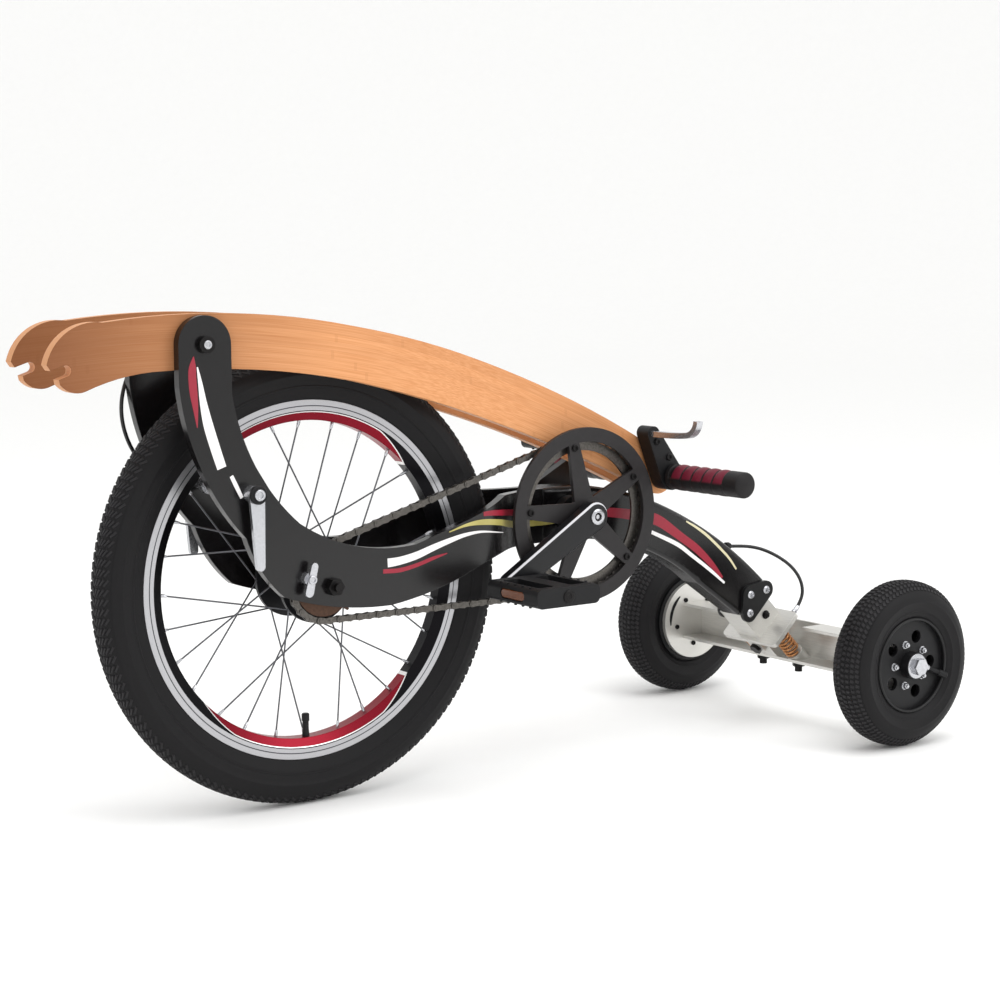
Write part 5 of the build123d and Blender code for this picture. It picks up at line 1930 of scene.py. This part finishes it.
@dataclass
class Grips:
    """Two-colour grips with raised wavy pads, and the screws of the brake bracket."""

    bar: Flat = (490.0, 342.0)
    start: float = 62.0
    end: float = 192.0
    radius: float = 16.0
    pad_start: float = 9.0
    pad_count: int = 5
    pad_pitch: float = 19.0
    pad_height: float = 2.4
    wave_mm: float = 1.8
    ridge_power: float = 0.6
    top_margin: float = 0.05
    red_from: float = 0.35
    red_fade: float = 0.15
    plain_share: float = 0.35
    collar: float = 5.0
    cap: float = 26.0
    cap_step: float = 0.4
    dome_length: float = 3.0
    dome_rate: float = 0.25
    rows: int = 184
    sides: int = 72
    bracket_faces: Flat = (36.0, 58.0)
    lever_pivot: Flat = (460.0, 396.0)
    clamp_screw: Flat = (484.0, 366.0)
    stop_screw: Flat = (465.0, 386.0)
    bracket_screw: ScrewSize = (4.2, 2.6)

    def build(self) -> None:
        """Make and seat both grips and the bracket's screws."""
        for side in Side:
            self.grip(side)
        inner, outer = self.bracket_faces
        places = [
            ((self.lever_pivot[0], -inner, self.lever_pivot[1]), turn_to((0, 1, 0))),
            ((self.clamp_screw[0], -outer, self.clamp_screw[1]), turn_to((0, -1, 0))),
            ((self.stop_screw[0], -outer, self.stop_screw[1]), turn_to((0, -1, 0))),
        ]
        screw = cap_screw(*self.bracket_screw)
        piece = copies("brake_bracket_screws", screw, places, BLACK_OXIDE)
        seat(piece, Body.HANDLEBAR, "black_plastic")

    def shape(self, along: float, turn: float) -> Flat:
        """Radius and redness at a place on the grip.

        Args:
            along: Distance from the inner end in millimetres.
            turn: Angle from straight up.

        Returns:
            The radius in millimetres and the share of red.
        """
        length = self.end - self.start
        if along < self.collar or along > length - self.cap:
            dome = max(0.0, along - (length - self.dome_length)) ** 2 * self.dome_rate
            return self.radius - self.cap_step - dome, 0.0
        place = (along - self.pad_start + self.wave_mm * math.sin(2 * turn)) / self.pad_pitch
        share = place - math.floor(place)
        on_pad = 0 <= place < self.pad_count
        ridge = math.sin(math.pi * share) ** self.ridge_power if on_pad else 0.0
        upper = max(0.0, min(1.0, (math.cos(turn) + self.top_margin) / self.red_fade))
        red = min(1.0, max(0.0, (ridge - self.red_from) / self.red_fade)) * upper
        depth = self.plain_share + (1 - self.plain_share) * upper
        return self.radius - self.pad_height * (1 - ridge) * depth, red

    def grip(self, side: Side) -> None:
        """One grip as a fine surface, closed at both ends.

        Args:
            side: The grip's side.
        """
        length = self.end - self.start
        points, pads, faces = [], [], []
        for row in range(self.rows + 1):
            along = length * row / self.rows
            for k in range(self.sides):
                turn = 2 * math.pi * k / self.sides
                radius, red = self.shape(along, turn)
                points.append((
                    self.bar[0] + radius * math.sin(turn),
                    side.value * (self.start + along),
                    self.bar[1] + radius * math.cos(turn),
                ))
                pads.append(red)
        for row in range(self.rows):
            for k in range(self.sides):
                after = (k + 1) % self.sides
                low, high = row * self.sides, (row + 1) * self.sides
                faces.append((low + k, low + after, high + after, high + k))
        faces.append(tuple(range(self.sides)))
        faces.append(tuple(self.rows * self.sides + k for k in range(self.sides)))
        piece = mesh_object(f"grip_cover_{side.tag}", points, faces, smooth=60)
        pad = piece.data.attributes.new("pad", "FLOAT", "POINT")
        pad.data.foreach_set("value", pads)
        seat(piece, Body.HANDLEBAR, "grip_rubber", GRIP_RUBBER, f"grip_{side.tag}")


@dataclass
class TruckTrim:
    """Coil springs, dark plates of painted shade on the brake covers, and the covers' screws."""

    origin: Flat = (658.0, 160.0)
    plate_depth: float = 50.0
    seat_depth: float = 91.0
    spring_offset: float = 34.0
    spring_shift: float = -4.0
    spring_radius: float = 9.2
    wire_radius: float = 1.8
    wire_sides: int = 10
    turns: float = 6.5
    turn_steps: int = 28
    wheel: Flat = REAR_AXLE
    cover_face: float = 180.0
    ring_face: float = 185.9
    ring_radius: Flat = (46.0, 59.2)
    ring_thickness: float = 1.5
    slot_radius: float = 44.0
    slot_width: float = 5.0
    slot_turn: Flat = (128.0, 186.0)
    slot_steps: int = 24
    slot_blunt: float = 0.35
    slot_lift: float = 0.3
    screw_circle: float = 33.5
    screw_first: float = 121.0
    screw_count: int = 5
    cover_screw: ScrewSize = (3.2, 2.2)

    @property
    def down_rear(self) -> Vector:
        """Direction from the bracket plate to the spring seats."""
        return Vector((1, 0, -1)).normalized()

    def place(self, depth: float, offset: float) -> Vector:
        """Find a place on a spring's axis.

        Args:
            depth: Distance behind the bracket's origin in millimetres.
            offset: Distance from the middle plane in millimetres, signed as Y.

        Returns:
            The place in millimetres.
        """
        up_rear = Vector((1, 0, 1)).normalized()
        start = Vector((self.origin[0], offset, self.origin[1]))
        return start + self.down_rear * depth + up_rear * self.spring_shift

    def build(self) -> None:
        """Make and seat the springs, the painted-shade plates on the covers and the covers' screws.
        """
        for side in Side:
            self.spring(side)
            # A strip of painted shade on each cover's inner face.
            self.slot(side)
            self.dust_ring(side)
        places = []
        for side in Side:
            for k in range(self.screw_count):
                turn = math.radians(self.screw_first + 360 * k / self.screw_count)
                x = self.wheel[0] + self.screw_circle * math.cos(turn)
                z = self.wheel[1] + self.screw_circle * math.sin(turn)
                places.append(((x, side.value * self.cover_face, z), turn_to((0, -side.value, 0))))
        piece = copies("cover_screws", cap_screw(*self.cover_screw), places, BLACK_OXIDE)
        seat(piece, Body.TRUCK, "dark_steel")

    def dust_ring(self, side: Side) -> None:
        """A ring behind a brake cover, which closes the gap to the wheel's rim.

        Args:
            side: The wheel's side.
        """
        (inner, outer), thick = self.ring_radius, self.ring_thickness
        section = [
            (inner, 0), (outer - 1, 0), (outer, thick * 0.5), (outer - 1, thick), (inner, thick)
        ]
        points, faces = turned(section, steps=72, closed=True)
        flipped = [(x, y, side.value * z) for x, y, z in points]
        place = across_axis(self.wheel[0], side.value * self.ring_face, self.wheel[1])
        piece = mesh_object(f"cover_dust_ring_{side.tag}", moved(flipped, place), faces)
        seat(piece, Body.TRUCK, "dark_steel", MOULDED_NYLON)

    # The dark plate below stands in for shade, not for an opening.
    def slot(self, side: Side) -> None:
        """A dark curved strip of painted shade on a brake cover's inner face, made as a thin closed
        plate.

        Args:
            side: The wheel's side.
        """
        points: list[Place] = []
        faces: Faces = []
        steps = self.slot_steps
        first, last = (math.radians(t) for t in self.slot_turn)
        for k in range(steps + 1):
            turn = first + (last - first) * k / steps
            taper = math.sin(math.pi * min(k, steps - k) / steps + self.slot_blunt)
            for across in (-0.5, 0.5):
                reach = self.slot_radius + across * self.slot_width * min(1.0, taper)
                for lift in (self.slot_lift, -self.slot_lift):
                    points.append((
                        self.wheel[0] + reach * math.cos(turn),
                        side.value * (self.cover_face - lift),
                        self.wheel[1] + reach * math.sin(turn),
                    ))
        for k in range(steps):
            low, high = 4 * k, 4 * k + 4
            for a, b in ((0, 1), (1, 3), (3, 2), (2, 0)):
                faces.append((low + a, low + b, high + b, high + a))
        faces += [(0, 2, 3, 1), tuple(4 * steps + i for i in (0, 1, 3, 2))]
        piece = mesh_object(f"cover_slot_{side.tag}", points, faces)
        seat(piece, Body.TRUCK, "dark_steel", MOULDED_NYLON)

    def spring(self, side: Side) -> None:
        """A wound spring that stretches between the bracket plate and its seat.

        Args:
            side: The spring's side.
        """
        start = self.place(self.plate_depth + self.wire_radius, side.value * self.spring_offset)
        end = self.place(self.seat_depth - self.wire_radius, side.value * self.spring_offset)
        seed = bpy.data.meshes.new(f"spring_coil_{side.tag}")
        values = {
            "Turns": self.turns,
            "Steps": self.turn_steps,
            "Radius": self.spring_radius * MM,
            "Length": (end - start).length * MM,
            "Wire": self.wire_radius * MM,
            "Sides": self.wire_sides,
            "Finish": COPPER_WIRE.material(),
        }
        piece = grow(f"spring_coil_{side.tag}", coil_tree(), seed, values)
        aim = Euler(turn_to(self.down_rear)).to_matrix().to_4x4()
        piece.data.transform(Matrix.Translation(start * MM) @ aim)
        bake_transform(piece)
        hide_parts(f"spring_{side.tag}")
        LOG.info("%s, a mesh, bends between the frame and the truck", piece.name)


@dataclass(frozen=True)
class SoftBox:
    """A square lamp: its place in metres, its side and its power in watts."""

    name: str
    place: Place
    size: float
    power: float


@dataclass
class Studio:
    """Floor, lights and the camera at the photograph's place."""

    eye: Place = (-1.1395, -1.9883, 0.6105)
    aim: Place = (0.5746, 0.8100, -0.1171)
    roll_degrees: float = -0.31
    lens_mm: float = 74.13
    sensor_mm: float = 36.0
    floor_half: float = 9.0
    floor_bend: float = 3.0
    floor_bend_steps: int = 12
    floor_breadth: float = 1.6
    floor_drop: float = 0.0006
    lit_point: Place = (0.3, 0.0, 0.25)
    room_light: float = 1.0
    boxes: tuple[SoftBox, ...] = (
        SoftBox("top box", (0.4, -0.6, 2.6), 2.2, 30.0),
        SoftBox("left box", (-2.4, -1.2, 1.4), 1.6, 5.0),
        SoftBox("right box", (1.6, -2.0, 1.5), 1.2, 14.0),
    )

    def build(self) -> None:
        """Make the floor, the lights and the camera."""
        self.floor()
        self.lights()
        self.camera()

    def floor(self) -> None:
        """A wide pale floor that bends up into a backdrop far behind."""
        half, rise, steps = self.floor_half, self.floor_bend, self.floor_bend_steps
        line = [(-half, 0.0)]
        for k in range(steps + 1):
            turn = math.pi / 2 * k / steps
            line.append((half + rise * math.sin(turn), rise * (1 - math.cos(turn))))
        line.append((half + rise, 3 * rise))
        forward = Vector((self.aim[0], self.aim[1], 0)).normalized()
        across = Vector((forward.y, -forward.x, 0)) * half * self.floor_breadth
        points = [
            (forward * d + across * s + Vector((0, 0, h - self.floor_drop))) / MM
            for d, h in line
            for s in (-1, 1)
        ]
        faces = [(2 * k, 2 * k + 1, 2 * k + 3, 2 * k + 2) for k in range(len(line) - 1)]
        piece = mesh_object("floor", points, faces, smooth=80)
        piece.data.materials.append(BACKDROP_PAPER.material())

    def lights(self) -> None:
        """Soft boxes above and beside the object, in a pale room, shown without film tones."""
        bpy.context.scene.view_settings.view_transform = "Standard"
        world = bpy.data.worlds.new("pale room")
        world.use_nodes = True
        background = world.node_tree.nodes["Background"]
        background.inputs["Color"].default_value = (1, 1, 1, 1)
        background.inputs["Strength"].default_value = self.room_light
        bpy.context.scene.world = world
        for box in self.boxes:
            lamp = bpy.data.lights.new(box.name, "AREA")
            lamp.size = box.size
            lamp.energy = box.power
            made = link_object(box.name, lamp)
            made.location = box.place
            way = Vector(self.lit_point) - Vector(box.place)
            made.rotation_euler = way.to_track_quat("-Z", "Y").to_euler()

    def camera(self) -> None:
        """The camera, from the place and lens worked out from the wheels' outlines."""
        lens = bpy.data.cameras.new("view")
        lens.lens = self.lens_mm
        lens.sensor_width = self.sensor_mm
        made = link_object("view", lens)
        made.location = self.eye
        look = Vector(self.aim).to_track_quat("-Z", "Y").to_matrix()
        roll = Matrix.Rotation(math.radians(self.roll_degrees), 3, "Z")
        made.rotation_euler = (look @ roll).to_euler()
        bpy.context.scene.camera = made


def paint_nodes(frame: dict[str, Any]) -> None:
    """Give every carried-over solid the finish of its slot.
    """
    for part in frame["record"]["subparts"]:
        name = part["node"]
        mesh = frame["nodes"][name].data
        mesh.materials.clear()
        finish = NODE_FINISH.get(name, SLOT_FINISH[part["material_slot"]])
        mesh.materials.append(finish.material())


def main() -> None:
    """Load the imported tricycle, dress it and set up the studio."""
    logging.basicConfig(level=logging.INFO, format="%(name)s: %(message)s")
    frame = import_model()
    Studio().build()
    Cables().build()
    paint_nodes(frame)
    FrontWheel().build()
    for side in Side:
        RearWheel(side).build()
    Drive().build()
    Pedals().build()
    FrameTrim().build(frame["nodes"])
    Grips().build()
    TruckTrim().build()


if __name__ == "__main__":
    main()
